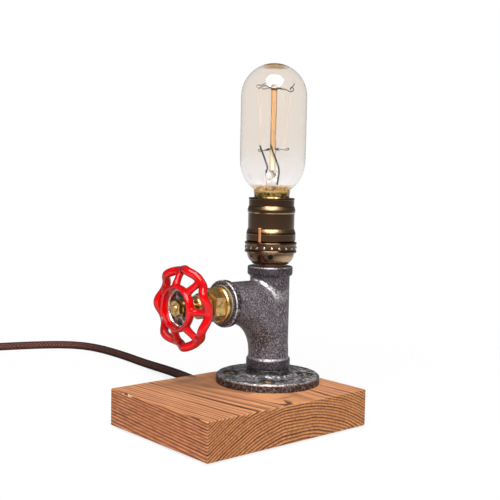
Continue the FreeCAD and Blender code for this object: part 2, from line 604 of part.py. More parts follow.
def make_lampholder():
    base = CAP_BASE
    cap, wall = S["cap_radius"], S["cap_wall"]
    cup_top = base + 6.4
    ring_low = base + S["ring_rise"]
    ring_top = ring_low + S["ring_height"]
    turned("socket_nipple", tube_corners(3.8, 4.95, TEE_TOP - 9, base + 5))
    turned("socket_washer", tube_corners(4.95, 11.6, TEE_TOP, base))
    node(hex_blank("nipple_nut", Size(14.0, "14"), base + 1, base + 4, 4.95, place_upright),
         "nipple_nut")

    cap_body = turned_body("socket_cap", [
        (4.95, base), (S["cap_base_radius"] - 1.0, base, 1.0), (S["cap_base_radius"], base + 0.7, 9.0),
        (cap, cup_top), (cap, ring_top), (cap - wall, ring_top), (cap - wall, cup_top, -9.0),
        (S["cap_base_radius"] - 1.2, base + wall), (4.95, base + wall)])
    turn = FreeCAD.Rotation(V(0, 0, 1), n("set_screw_turn"))
    place(cap_body, S["lamp_x"], S["lamp_y"], 0, turn)
    drill_axis = turn.multiply(FreeCAD.Rotation(V(0, 1, 0), 90))
    drill_z = base + S["set_screw_rise"]
    hole = cylinder("cap_hole", S["set_screw_hole"], 20.0, S["lamp_x"], S["lamp_y"], drill_z,
                    drill_axis)
    node(cut("socket_cap", cap_body, hole), "socket_cap")
    angle = math.radians(n("set_screw_turn"))
    outward = V(math.cos(angle), math.sin(angle), 0)
    seat = V(n("lamp_x"), n("lamp_y"), number(drill_z)) + outward * 10.8
    grub = Part.makeCylinder(n("set_screw_hole") - 0.1, 2.6, seat, outward)
    socket = Part.Face(Part.makePolygon([
        V(1.1 * math.cos(a), 1.1 * math.sin(a), 0) for a in
        [math.pi / 3 * i for i in range(7)]])).extrude(V(0, 0, 1.6))
    socket.Placement = FreeCAD.Placement(seat + outward * 1.2, drill_axis)
    shaped("cap_set_screw", grub.cut(socket))

    ring = S["ring_radius"]
    turned("socket_ring", [
        (cap, ring_low), (ring - 0.5, ring_low), (ring, ring_low + 0.5), (ring, ring_low + 1.6),
        (ring - 0.35, ring_low + 2.0), (ring - 0.35, ring_top - 2.0), (ring, ring_top - 1.6),
        (ring, ring_top - 0.5), (ring - 0.5, ring_top), (cap, ring_top)])

    top, inside, shell = S["holder_top"], S["shell_inside"], S["shell_radius"]
    shell_body = place_upright(turned_body("socket_shell", [
        (inside, ring_top), (S["band_radius"] - 0.7, ring_top), (S["band_radius"], ring_top + 1.2),
        (S["band_radius"], ring_top + 5.6, 14.0), (shell, ring_top + 9.1), (shell, top - 10.6),
        (S["bead_radius"] - 0.2, top - 9.9), (S["bead_radius"], top - 9.6),
        (S["bead_radius"], top - 8.3, 14.0), (S["mouth_radius"], top - 5.5),
        (S["mouth_radius"], top - 1.4), (S["mouth_radius"] + 0.25, top - 1.0),
        (S["mouth_radius"] + 0.1, top), (inside, top)]))
    tab_facing = FreeCAD.Rotation(V(0, 0, 1), n("tab_turn"))
    slot_foot = V(n("lamp_x"), n("lamp_y"), number(ring_top))
    slot = doc.addObject("Part::Feature", "shell_slot")
    slot.Shape = Part.makeBox(6.0, 2.4, 10.6, V(number(inside) - 0.6, -1.2, -0.2))
    slot.Placement = FreeCAD.Placement(slot_foot, tab_facing)
    node(cut("socket_shell", shell_body, slot), "socket_shell")
    tab = Part.makeBox(2.3, 1.9, 9.8, V(number(inside), -0.95, 0.2))
    tab = tab.makeFillet(0.4, [e for e in tab.Edges if e.BoundBox.XMin > number(inside) + 1])
    tab.Placement = FreeCAD.Placement(slot_foot, tab_facing)
    shaped("shell_tab", tab)

    core_low, core_top = ring_low + 1.2, ring_low + S["core_rise"]
    turned("socket_liner", tube_corners(inside - 0.5, inside, core_low, top - 2.5))
    turned("socket_core", [
        (0.0, core_low), (inside - 0.5, core_low), (inside - 0.5, core_top),
        (6.0, core_top), (6.0, core_top - 3.0), (0.0, core_top - 3.0)])
    turned("screw_shell", [
        (13.3, core_top), (inside - 1.0, core_top), (inside - 1.0, top - 3.2),
        (13.3, top - 3.2)])
    x, y, z = n("lamp_x"), n("lamp_y"), number(core_top)
    bend = [(-5.2, 0.0), (-1.0, 0.0), (3.4, 2.5), (5.2, 2.1)]
    side = [V(x + u, y - 2.0, z - 3.0 + w) for u, w in bend]
    side += [p + V(0, 0, 0.4) for p in reversed(side)]
    leaf = Part.Face(Part.makePolygon(side + side[:1])).extrude(V(0, 4.0, 0))
    shaped("centre_contact", leaf)
    heads = [Part.makeCylinder(1.7, 1.6, V(x, y + side * 9.5, number(core_low) - 1.6))
             for side in (-1, 1)]
    shaped("terminal_screws", Part.makeCompound(heads))


# ---------------------------------------------------------------- bulb

BULB_FOOT = CAP_BASE + S["ring_rise"] + S["core_rise"] + S["contact_gap"]


def make_bulb():
    foot = BULB_FOOT
    radius, wall, skirt = S["bulb_cap_radius"], 0.5, S["skirt_radius"]
    skirt_top = S["holder_top"] + 4.9
    turned("bulb_cap_contact", [(0.0, foot), (3.0, foot), (4.2, foot + 0.8), (0.0, foot + 0.8)])
    turned("bulb_cap_insulator", [(0.0, foot + 0.8), (4.6, foot + 0.8), (7.2, foot + 2.6),
                                  (0.0, foot + 2.6)])
    turned("bulb_cap", [
        (0.0, foot + 2.6), (8.0, foot + 2.6), (radius, foot + 5.0), (radius, skirt_top - 6.4),
        (skirt - 0.5, skirt_top - 4.4), (skirt - 0.5, skirt_top - 3.0), (skirt, skirt_top),
        (skirt - wall, skirt_top), (skirt - 1.1, skirt_top - 3.0), (skirt - 1.1, skirt_top - 8.0),
        (radius - 1.2, foot + 6.0), (0.0, foot + 6.0)])
    neck, glass, shoulder = S["glass_neck"], S["bulb_radius"], S["bulb_top"] - S["bulb_radius"]
    thin = S["bulb_wall"]
    low = skirt_top - 7.5
    turned("bulb_glass", [
        (neck - thin, low), (neck, low), (neck, skirt_top - 0.3), (13.7, skirt_top + 1.3, 22.0),
        (19.5, skirt_top + 8.5, 36.0), (glass, skirt_top + 22.8), (glass, shoulder, 22.5),
        (0.0, S["bulb_top"]), (0.0, S["bulb_top"] - thin, -21.6),
        (glass - thin, shoulder), (glass - thin, skirt_top + 22.8, -36.0),
        (18.75, skirt_top + 9.0, -22.0), (13.1, skirt_top + 2.0), (neck - thin, skirt_top + 0.1)])
    mount_top = skirt_top + 14.3
    turned("glass_mount", [
        (0.0, low), (neck - thin, low), (neck - thin, low + 1.0, -6.0),
        (4.2, skirt_top + 1.0), (4.2, mount_top - 6.0), (5.0, mount_top - 4.0),
        (5.0, mount_top - 0.8), (4.2, mount_top), (0.0, mount_top)])
    rod_top = S["bulb_top"] - 15.6
    turned("support_rod", [
        (0.0, mount_top), (S["rod_radius"], mount_top), (S["rod_radius"], rod_top - 1.5),
        (S["rod_radius"] + 0.5, rod_top - 1.2), (S["rod_radius"] + 0.5, rod_top - 0.3),
        (0.0, rod_top)])
    make_bulb_wires(number(mount_top), number(rod_top))


def ring_points(count, radius, height, offset=0.0):
    """Evenly spaced points round the lamp's upright axis."""
    turns = [2 * math.pi * (i + offset) / count for i in range(count)]
    return [V(n("lamp_x") + radius * math.cos(a), n("lamp_y") + radius * math.sin(a), height)
            for a in turns]


def rod_between(start, end, radius):
    return Part.makeCylinder(radius, (end - start).Length, start, end - start)


def make_bulb_wires(mount_top, rod_top):
    """Two wire spiders carry the filament; two thick leads come up from the mount."""
    strands = 7
    upper, lower = rod_top - 0.8, mount_top + 14.0
    root = S["rod_radius"].value - 0.4
    arms = []
    for radius, height, lift, offset in ((12.0, upper, 0.8, 0.0), (8.5, lower, -0.6, 0.5)):
        roots = ring_points(strands, root, height, offset)
        hooks = ring_points(strands, radius, height + lift, offset)
        arms += [rod_between(*pair, 0.16) for pair in zip(roots, hooks)]
    shaped("support_wires", Part.makeCompound(arms))
    strings = []
    for side, skip in ((0.022, 0), (-0.022, 1)):
        tops = ring_points(strands, 12.0, upper + 0.8, side)
        feet = ring_points(strands, 8.5, lower - 0.6, 0.5 - side)
        strings += [rod_between(tops[i], feet[i - skip], 0.07) for i in range(skip, strands)]
    shaped("filament", Part.makeCompound(strings))
    across, depth = V(0.75, -0.66, 0), V(0.66, 0.75, 0)
    axis = V(n("lamp_x"), n("lamp_y"), 0)
    leads = []
    for low_side, top_side, behind in ((-1.9, -8.0, 1.5), (3.4, 0.2, -3.4)):
        low = axis + across * low_side + depth * behind + V(0, 0, mount_top - 1.0)
        high = axis + across * top_side + depth * behind + V(0, 0, mount_top + 14.8)
        leads.append(rod_between(low, high, 0.55))
    shaped("lead_wires", Part.makeCompound(leads))


# ---------------------------------------------------------------- wires and mains lead

def rounded_route(points, limit=None):
    """Straight runs joined by tangent arcs: returns the path's wire and its bend radii.

    An arc's radius is 0.45 of its shorter run over the tangent of half the turn."""
    edges, radii = [], []
    here = points[0]
    for before, corner, after in zip(points, points[1:], points[2:]):
        arrive, leave = corner - before, after - corner
        turn = arrive.getAngle(leave)
        room = 0.45 * min(arrive.Length, leave.Length)
        radius = room / math.tan(turn / 2.0)
        if limit:
            radius = min(radius, limit)
        trim = radius * math.tan(turn / 2.0)
        start = corner - arrive.normalize() * trim
        end = corner + leave.normalize() * trim
        inward = (end - corner).normalize() + (start - corner).normalize()
        deep = radius / math.cos(turn / 2.0) - radius
        middle = corner + inward.normalize() * deep
        edges.append(Part.LineSegment(here, start).toShape())
        edges.append(Part.Arc(start, middle, end).toShape())
        radii.append(radius)
        here = end
    edges.append(Part.LineSegment(here, points[-1]).toShape())
    return Part.Wire(edges), radii


def routed_tube(name, points, radius, limit=None):
    """Round tube along a rounded route, checked against its section times its length."""
    path, radii = rounded_route(points, limit)
    start = (points[1] - points[0]).normalize()
    ring = Part.Wire([Part.Circle(points[0], start, radius).toShape()])
    tube = path.makePipeShell([ring], True, False)
    expected = math.pi * radius * radius * path.Length
    smallest = min(radii) if radii else 0.0
    print("%-14s length %7.1f  smallest bend %5.1f  volume ratio %.4f" % (
        name, path.Length, smallest, tube.Volume / expected))
    if abs(tube.Volume / expected - 1.0) > 0.01:
        raise RuntimeError("tube %s has the wrong volume" % name)
    return tube


def make_inner_wires():
    """Cord core in the block and three single wires up to the dimmer and the lampholder."""
    x, y, z = n("lamp_x"), n("lamp_y"), n("cord_exit_z")
    core_end = y + 3.0
    rear = n("block_width") / 2.0
    shaped("cord_in_block", Part.makeCylinder(n("cord_radius"), rear - core_end,
                                              V(x, core_end, z), V(0, 1, 0)))
    top = number(CAP_BASE + S["ring_rise"])
    branch = number(BRANCH_Z)
    dimmer_back = x - (n("branch_reach") - 9 - 10.2)
    wire = 1.1
    shaped("wire_neutral", routed_tube("wire_neutral", [
        V(x + 1.8, core_end, z), V(x + 1.8, y - 0.5, z), V(x + 1.6, y, z + 14),
        V(x + 1.6, y + 0.3, top), V(x, y + 7.7, top)], wire, 2.4))
    shaped("wire_live", routed_tube("wire_live", [
        V(x - 1.8, core_end, z), V(x - 1.8, y - 0.5, z), V(x - 1.6, y, z + 14),
        V(x - 2.4, y, branch - 22), V(x - 9.0, y, branch - 3.5),
        V(dimmer_back, y, branch - 3.5)], wire, 6.0))
    shaped("wire_switched", routed_tube("wire_switched", [
        V(dimmer_back, y, branch + 2.0), V(x - 14.5, y, branch + 2.0),
        V(x - 7.5, y, branch - 2.0), V(x - 1.8, y, branch + 9), V(x - 1.6, y - 0.3, top),
        V(x, y - 7.7, top)], wire, 2.4))


CORD_ROUTE = [
    (30.4, 52.05, 10.0), (30.4, 76.0, 10.0), (33.0, 100.0, 8.3), (38.0, 122.0, 4.8),
    (43.6, 140.5, 3.6), (48.6, 159.0, 3.6), (52.6, 179.0, 3.6), (55.8, 200.0, 3.6), (57.9, 223.0, 3.6),
    (58.8, 246.0, 3.6), (58.2, 267.0, 3.6), (54.6, 286.0, 3.6), (46.4, 300.5, 3.6),
    (33.6, 311.0, 3.6), (16.0, 320.2, 3.6), (-5.0, 328.2, 3.6), (-29.0, 336.0, 3.6),
    (-58.0, 342.8, 3.6), (-87.3, 346.5, 3.6),
]


def coil_frame():
    """Centre of the coil, and the angle in degrees at which the cord runs into it.

    It winds inwards on the table and outwards on top of that, so it leaves two windings on."""
    last, before = V(*CORD_ROUTE[-1]), V(*CORD_ROUTE[-2])
    heading = (last - before).normalize()
    side = V(-heading.y, heading.x, 0)
    centre = last + side * n("coil_radius")
    start = math.degrees(math.atan2(last.y - centre.y, last.x - centre.x))
    return V(centre.x, centre.y, 0), start


def make_cord():
    radius, pitch = n("cord_radius"), n("coil_pitch")
    route = [V(*p) for p in CORD_ROUTE]
    shaped("cord_lead", routed_tube("cord_lead", route, radius))
    centre, start_turn = coil_frame()
    outer = n("coil_radius") + radius
    inner = n("coil_radius") - pitch * n("coil_turns") - radius
    high = pitch + 2 * radius
    soft = radius
    ring = Part.makeCylinder(outer, high, centre).cut(Part.makeCylinder(inner, high, centre))
    ring = ring.makeFillet(soft * 0.9, [e for e in ring.Edges if e.Length > 2 * high])
    shaped("cord_coil", ring)

    leave = math.radians(start_turn + 720.0 * n("coil_turns"))
    out = V(math.cos(leave), math.sin(leave), 0)
    ahead = V(-out.y, out.x, 0)
    start = centre + out * n("coil_radius") + V(0, 0, radius + pitch)
    tail = [start, start + ahead * 19 + V(0, 0, -0.6) - out * 0.4,
            start + ahead * 38 + V(0, 0, -2.2) - out * 2.0,
            start + ahead * 58 + V(0, 0, n("plug_height") / 2 - radius - pitch) - out * 5.0]
    shaped("cord_tail", routed_tube("cord_tail", tail, radius))
    make_plug(tail[-1], tail[-1] - tail[-2])
    make_cord_tie(centre, inner, outer, high)


def make_cord_tie(centre, inner, outer, high):
    """Flat strap round the coil's section, opposite the side where the cord runs in."""
    gauge, width = 0.8, 6.0
    reach = outer - inner
    outside = Part.makeBox(reach + 2 * gauge, width, high + gauge, V(inner - gauge, -width / 2, 0))
    outside = outside.makeFillet(2.6, [e for e in outside.Edges
                                       if abs(e.BoundBox.YLength - width) < 1e-6])
    hollow = Part.makeBox(reach, width + 2, high - gauge, V(inner, -width / 2 - 1, gauge))
    strap = outside.cut(hollow)
    strap.Placement = FreeCAD.Placement(centre, FreeCAD.Rotation(V(0, 0, 1), 320))
    shaped("cord_tie", strap)


def make_plug(entry, heading):
    """Flat two-pin plug lying on the table, its waist drawn in towards the cord."""
    flat = V(heading.x, heading.y, 0).normalize()
    turn = math.degrees(math.atan2(flat.y, flat.x))
    length, width, height = n("plug_length"), n("plug_width"), n("plug_height")
    side = [V(0, 5.0, 0), V(9, 5.8, 0), V(15, 8.5, 0), V(21, width / 2 - 1.5, 0),
            V(length - 3, width / 2, 0), V(length, width / 2 - 2.5, 0)]
    mirror = [V(p.x, -p.y, 0) for p in reversed(side)]
    outline = Part.makePolygon(side + mirror + side[:1])
    body = Part.Face(outline).extrude(V(0, 0, height))
    long_edges = [e for e in body.Edges if e.BoundBox.ZLength < 1e-6]
    body = body.makeFillet(2.4, long_edges)
    spot = FreeCAD.Placement(V(entry.x, entry.y, 0), FreeCAD.Rotation(V(0, 0, 1), turn))
    body.Placement = spot
    shaped("plug_body", body)
    pins = []
    for sign in (-1, 1):
        pin = Part.makeCylinder(n("pin_radius"), n("pin_length"),
                                V(length, sign * n("pin_spacing") / 2, height / 2), V(1, 0, 0))
        tip = [e for e in pin.Edges if e.BoundBox.XLength < 1e-6 and e.BoundBox.XMin > length + 1]
        pin = pin.makeFillet(1.2, tip)
        pin.Placement = spot
        pins.append(pin)
    shaped("plug_pins", Part.makeCompound(pins))


# ---------------------------------------------------------------- build, check and write

def build():
    make_wood_base()
    make_felt_pads()
    make_floor_flange()
    make_flange_screws()
    make_cord_bush()
    make_pipework()
    make_branch_fittings()
    make_handwheel()
    make_wheel_fixings()
    make_lampholder()
    make_bulb()
    make_inner_wires()
    make_cord()
    doc.recompute()


def check():
    failed = [o.Label for o in doc.Objects if set(o.State) & {"Invalid", "Error"}]
    if failed:
        raise RuntimeError("objects not built: " + ", ".join(failed))
    for item in NODES:
        if item.Shape.isNull() or not item.Shape.isValid() or not item.Shape.Solids:
            raise RuntimeError("bad shape: " + item.Label)


def write():
    os.makedirs("parts", exist_ok=True)
    for item in NODES:
        item.Shape.exportStep("parts/%s.step" % item.Label)
    box = FreeCAD.BoundBox()
    for item in NODES:
        box.add(item.Shape.BoundBox)
    print("%d sub-parts, box %s" % (len(NODES), box))


build()
check()
write()
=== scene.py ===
"""Pipe table lamp: finishes, fine forms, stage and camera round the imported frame.

Metres, +Z up, origin on the table under the middle of the wood block.  The handwheel points
along -X, the front is -Y and the mains lead leaves at +Y."""

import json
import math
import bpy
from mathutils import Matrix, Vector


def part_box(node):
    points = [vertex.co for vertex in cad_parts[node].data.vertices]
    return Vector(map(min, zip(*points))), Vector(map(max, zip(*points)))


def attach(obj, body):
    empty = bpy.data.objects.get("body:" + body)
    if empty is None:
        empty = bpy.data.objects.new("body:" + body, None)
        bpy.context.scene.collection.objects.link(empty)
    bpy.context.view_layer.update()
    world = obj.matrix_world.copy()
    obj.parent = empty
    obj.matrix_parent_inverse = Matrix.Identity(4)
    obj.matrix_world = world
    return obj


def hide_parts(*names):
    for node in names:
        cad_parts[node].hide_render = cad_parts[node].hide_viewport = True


bl_info = {
    "name": "Pipe Table Lamp",
    "version": (1, 0, 0),
    "blender": (4, 5, 0),
    "location": "View3D > Sidebar > Pipe Lamp",
    "description": "Dresses a table lamp made of pipe fittings with its finishes and fine forms",
    "category": "Object",
}

import bpy
import numpy as np
from bpy.props import FloatProperty, FloatVectorProperty, IntProperty, PointerProperty
from mathutils import Matrix, Vector

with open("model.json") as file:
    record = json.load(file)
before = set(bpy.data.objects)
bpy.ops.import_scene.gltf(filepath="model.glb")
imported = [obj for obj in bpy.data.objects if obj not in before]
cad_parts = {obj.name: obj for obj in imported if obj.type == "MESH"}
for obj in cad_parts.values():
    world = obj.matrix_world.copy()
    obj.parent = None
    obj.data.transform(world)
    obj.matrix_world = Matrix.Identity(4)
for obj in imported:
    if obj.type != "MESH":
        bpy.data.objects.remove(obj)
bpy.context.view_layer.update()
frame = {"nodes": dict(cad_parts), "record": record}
NODES = frame["nodes"]
SLOT_OF = {part["node"]: part["material_slot"] for part in frame["record"]["subparts"]}
MM = 0.001
TAU = 2 * math.pi


def low(node):
    """Lowest corner of a frame node's box, in millimetres."""
    return np.array(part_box(node)[0]) / MM


def high(node):
    """Highest corner of a frame node's box, in millimetres."""
    return np.array(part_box(node)[1]) / MM


LAMP_X, LAMP_Y = ((low("close_nipple") + high("close_nipple")) / 2)[:2]
BRANCH_Z = ((low("wheel_plate") + high("wheel_plate")) / 2)[2]
BLOCK_TOP = high("wood_base")[2]
FLANGE_TOP = high("floor_flange")[2]
TEE_LOW, TEE_TOP = low("sweep_tee")[2], high("sweep_tee")[2]
SCREW_TURN, SCREW_REACH = 47.6, 26.0
SCREW_SPOTS = [(LAMP_X + SCREW_REACH * math.cos(math.radians(SCREW_TURN + 90 * i)),
                LAMP_Y + SCREW_REACH * math.sin(math.radians(SCREW_TURN + 90 * i)))
               for i in range(4)]


# ---------------------------------------------------------------- sizes and colours

def size(label, about, value):
    """A length given in millimetres."""
    return FloatProperty(name=label, description=about, default=value * MM, unit="LENGTH",
                         min=0.0, precision=5)


def colour(label, about, value):
    """A colour in linear light."""
    return FloatVectorProperty(name=label, description=about, default=value, subtype="COLOR",
                               size=3, min=0.0, max=1.0)


class LampSizes(bpy.types.PropertyGroup):
    """Sizes of the forms that are made here rather than taken from the frame."""
    ring_spacing: size("Ring spacing", "Distance between two growth rings in the block's top", 2.0)
    pith_x: size("Pith across", "How far right of the middle the tree's heart lay", 3.0)
    pith_depth: size("Pith depth", "How far under the block's top the tree's heart lay", 118.4)
    cord_radius: size("Cord radius", "Half the braided lead's thickness", 3.6)
    coil_radius: size("Coil radius", "Radius of the coil's outermost turn", 48.0)
    coil_pitch: size("Coil pitch", "Distance between two turns of the coil", 7.3)
    rim_radius: size("Rim radius", "Handwheel rim in its valleys", 24.0)
    rim_at: size("Rim place", "How far along the branch the rim's valleys lie", 73.4)
    lobe_radius: size("Petal radius", "Handwheel rim at its petals", 25.2)
    lobe_at: size("Petal place", "How far along the branch the rim's petals lie", 76.9)
    rim_tube: size("Rim thickness", "Half the rim bar's thickness", 2.9)
    spoke_tube: size("Spoke thickness", "Half a spoke's thickness", 2.6)
    petals: IntProperty(name="Petals", description="Petals of the handwheel", default=7, min=3)
    stud_count: IntProperty(name="Studs", description="Dots round the lampholder's ring",
                            default=21, min=3)
    run_radius: size("Run radius", "Half the tee's upright part's thickness", 13.7)
    branch_radius: size("Branch radius", "Half the tee's branch's thickness", 14.0)
    sweep_radius: size("Sweep radius", "Bend of the branch's lower side, at its middle", 37.0)


class LampColours(bpy.types.PropertyGroup):
    """Main colours of the finishes."""
    early_wood: colour("Early wood", "Pale wood between the rings", (0.68, 0.30, 0.125))
    late_wood: colour("Late wood", "Dark lines of the rings", (0.085, 0.018, 0.006))
    iron: colour("Iron", "Cast fitting", (0.116, 0.100, 0.116))
    rust: colour("Flange iron", "Brown-black skin of the floor flange", (0.085, 0.058, 0.050))
    enamel: colour("Enamel", "Handwheel paint", (0.72, 0.001, 0.003))
    brass: colour("Brass", "Bonnet, gland and screws", (0.72, 0.47, 0.18))
    bronze: colour("Bronze", "Lampholder's dark finish", (0.082, 0.040, 0.018))
    copper: colour("Copper", "Shell's tab", (0.62, 0.27, 0.12))
    glass: colour("Glass", "Tint of the bulb", (0.905, 0.855, 0.805))
    amber: colour("Amber", "Support rod in the bulb", (0.50, 0.31, 0.13))
    textile: colour("Textile", "Braid of the lead", (0.165, 0.056, 0.041))


def sizes():
    return bpy.context.scene.pipe_lamp_sizes


def millimetres(*names):
    """Sizes in millimetres."""
    return [getattr(sizes(), name) / MM for name in names]


def tints():
    return bpy.context.scene.pipe_lamp_colours


# ---------------------------------------------------------------- materials

class Field:
    """What a node gives at each place of a surface.  Arithmetic on it adds maths nodes, so that a
    pattern is written as its formula."""

    def __init__(self, net, socket):
        self.net, self.socket = net, socket

    def __add__(self, other):
        return self.net.maths("ADD", self, other)

    def __sub__(self, other):
        return self.net.maths("SUBTRACT", self, other)

    def __rsub__(self, other):
        return self.net.maths("SUBTRACT", other, self)

    def __mul__(self, other):
        return self.net.maths("MULTIPLY", self, other)

    def __truediv__(self, other):
        return self.net.maths("DIVIDE", self, other)

    def level(self, out_low, out_high, in_low=0.0, in_high=1.0):
        """Straight line from one range onto another, held at its ends."""
        return self.net.add("ShaderNodeMapRange", {
            "Value": self, "From Min": in_low, "From Max": in_high, "To Min": out_low,
            "To Max": out_high})

    def rising(self, start, end, full=1.0):
        """0 up to `start`, `full` from `end` on."""
        return self.level(0.0, full, start, end)

    def falling(self, start, end, full=1.0):
        """`full` up to `start`, 0 from `end` on."""
        return self.level(full, 0.0, start, end)

    def line(self, middle, half):
        """1 within a thin band round the middle, 0 outside it.  Both are millimetres."""
        away = self.net.maths("ABSOLUTE", self - middle * MM)
        return away.falling(half * 0.5 * MM, half * MM)

    def ramp(self, *stops):
        """Grey or coloured steps (at, tint) joined by straight lines."""
        node = self.net.node("ShaderNodeValToRGB", {"Fac": self})
        marks = node.color_ramp.elements
        while len(marks) < len(stops):
            marks.new(0.5)
        for mark, (at, tint) in zip(marks, stops):
            mark.position = at
            mark.color = (tuple(tint) if hasattr(tint, "__len__") else (tint,) * 3) + (1.0,)
        return Field(self.net, node.outputs["Color"])

    def length(self):
        """Length of a vector."""
        return self.net.vector("LENGTH", self, out="Value")


def most(first, *others):
    """Largest of several masks."""
    for other in others:
        first = first.net.maths("MAXIMUM", first, other)
    return first


class Net:
    """A material's node tree, filled one node at a time.  Lengths are given in millimetres; the
    places and distances that its fields carry are in metres."""

    def __init__(self, owner):
        self.owner = owner
        owner.use_nodes = True
        self.nodes, self.links = owner.node_tree.nodes, owner.node_tree.links
        self.nodes.clear()

    @classmethod
    def material(cls, name):
        net = cls(bpy.data.materials.new(name))
        net.place = net.add("ShaderNodeTexCoord", out="Object")
        net.x, net.y, net.z = net.axes(net.place)
        return net

    def node(self, kind, inputs=None, **settings):
        """One node; each input is another field or a number, vector or colour."""
        node = self.nodes.new(kind)
        for key, value in settings.items():
            setattr(node, key, value)
        for key, value in (inputs or {}).items():
            socket = node.inputs[key]
            if isinstance(value, Field):
                self.links.new(value.socket, socket)
            elif socket.type == "RGBA":
                socket.default_value = tuple(value)[:3] + (1.0,)
            else:
                socket.default_value = value
        return node

    def add(self, kind, inputs=None, out=0, **settings):
        """The field that one output of a new node gives."""
        return Field(self, self.node(kind, inputs, **settings).outputs[out])

    def maths(self, operation, *values):
        return self.add("ShaderNodeMath", dict(enumerate(values)), operation=operation)

    def vector(self, operation, *values, out=0):
        return self.add("ShaderNodeVectorMath", dict(enumerate(values)), out, operation=operation)

    def axes(self, vector):
        """X, Y and Z of a vector."""
        return [Field(self, part) for part in self.node("ShaderNodeSeparateXYZ", {0: vector}).outputs]

    def mapped(self, move=(0, 0, 0), scale=(1, 1, 1), vector=None):
        """Place scaled along its axes and then moved."""
        return self.add("ShaderNodeMapping", {
            "Vector": vector or self.place, "Location": Vector(move) * MM, "Scale": scale})

    def noise(self, feature, detail, roughness, squeeze=None, out="Fac"):
        """Cloud noise whose blots are about `feature` across, longer along an axis whose
        `squeeze` is small."""
        return self.add("ShaderNodeTexNoise", {
            "Vector": self.mapped(scale=squeeze) if squeeze else self.place,
            "Scale": 1.0 / (feature * MM), "Detail": detail, "Roughness": roughness}, out)

    def cells(self, feature):
        """Distance to the nearest of points scattered about `feature` apart."""
        return self.add("ShaderNodeTexVoronoi", {
            "Vector": self.place, "Scale": 1.0 / (feature * MM)}, "Distance")

    def blend(self, factor, a, b, kind="MIX"):
        """Colour `a` where the factor is 0, and `b` or their product where it is 1."""
        return self.add("ShaderNodeMix", {0: factor, 6: a, 7: b}, 2, data_type="RGBA",
                        blend_type=kind)

    def coats(self, tint, *coats):
        """Coats (mask, tint) laid one after the other over a first tint."""
        for mask, over in coats:
            tint = self.blend(mask, tint, over)
        return tint

    def height(self, start, end):
        """0 below `start`, 1 above `end`."""
        return self.z.rising(start * MM, end * MM)

    def reach(self, x=LAMP_X, y=LAMP_Y):
        """Distance from an upright axis, if none is given that of the pipe."""
        return self.mapped((-x, -y, 0), (1, 1, 0)).length()

    def branch_reach(self):
        """Distance from the branch's axis."""
        return self.mapped((0, -LAMP_Y, -BRANCH_Z), (0, 1, 1)).length()

    def near(self, spot, stretch, soft):
        """1 at a spot, falling to 0 on an ellipsoid whose half axes are `stretch`, over the outer
        part `soft` of the way."""
        place = self.add("ShaderNodeMapping", {
            "Vector": self.place, "Location": [-a / b for a, b in zip(spot, stretch)],
            "Scale": [1.0 / (b * MM) for b in stretch]})
        return place.length().falling(1.0 - soft, 1.0)

    def bump(self, height, depth):
        """Relief `depth` deep."""
        return self.add("ShaderNodeBump", {"Height": height, "Distance": depth * MM,
                                           "Strength": 1.0})

    def facing(self, blend=0.5):
        """0 where the surface is seen square on, 1 where it turns away."""
        return self.add("ShaderNodeLayerWeight", {"Blend": blend}, "Facing")

    def rays(self):
        """Masks of the rays from the camera, through glass and off glossy surfaces."""
        path = self.node("ShaderNodeLightPath").outputs
        return [Field(self, path[f"Is {kind} Ray"]) for kind in ("Camera", "Transmission", "Glossy")]

    def finish(self, **sockets):
        """Principled shader; underscores in the names stand for spaces."""
        inputs = {key.replace("_", " "): value for key, value in sockets.items()}
        self.node("ShaderNodeOutputMaterial", {
            "Surface": self.add("ShaderNodeBsdfPrincipled", inputs)})
        return self.owner


HEART_LEAN = (0.045, 0.0, -0.022)
HEART_DRIFT = 5.0
CROWDING, CROWDED_FROM, RINGS_WITHIN = 0.0028, 110.0, 0.30


def growth_rings(net):
    """Distance from the tree's heart and the number of the growth ring there.

    The heart runs back under the block, 4.5 % towards -X and 2.2 % upwards.  In millimetres,
    number = radius / spacing + 0.0028 * (radius - 110) ^ 2 + 0.30, so that the outer rings are
    closer.  Clouds that are long in Y let the rings drift by up to 2.5."""
    drift = net.vector("SUBTRACT", net.noise(40.0, 2.0, 0.5, (1.0, 0.12, 1.0), "Color"), (0.5,) * 3)
    place = net.vector("MULTIPLY_ADD", drift, (HEART_DRIFT * MM,) * 3, net.place)
    heart_x, depth = millimetres("pith_x", "pith_depth")
    across = net.mapped((-heart_x, 0.0, depth - BLOCK_TOP), (1, 0, 1), place)
    radius = net.vector("MULTIPLY_ADD", net.y, HEART_LEAN, across).length()
    beyond = (radius - CROWDED_FROM * MM) / MM
    return radius, radius / sizes().ring_spacing + beyond * beyond * CROWDING + RINGS_WITHIN


def late_wood(net, number, top, end_grain, side):
    """How dark each year's late wood is: rings differ in strength, and on top they fade in
    patches, though less towards the front."""
    late = net.maths("FRACT", number).ramp((0.0, 0.0), (0.30, 0.03), (0.56, 0.62), (0.70, 1.0),
                                           (0.96, 1.0), (1.0, 0.0))
    strength = net.add("ShaderNodeTexWhiteNoise", {"W": net.maths("FLOOR", number)}, "Value",
                       noise_dimensions="1D")
    front = net.y.falling(-50.0 * MM, 10.0 * MM, 0.35)
    patch = net.noise(22.0, 2.0, 0.5, (1.0, 0.25, 1.0)).level(0.35, 1.0, 0.35, 0.60)
    faded = top * (1 - net.maths("MINIMUM", patch + front, 1.0))
    return late * most(strength.level(0.45, 1.2) * (1 - faded),
                       end_grain * strength.level(0.75, 1.0), side * 0.85)


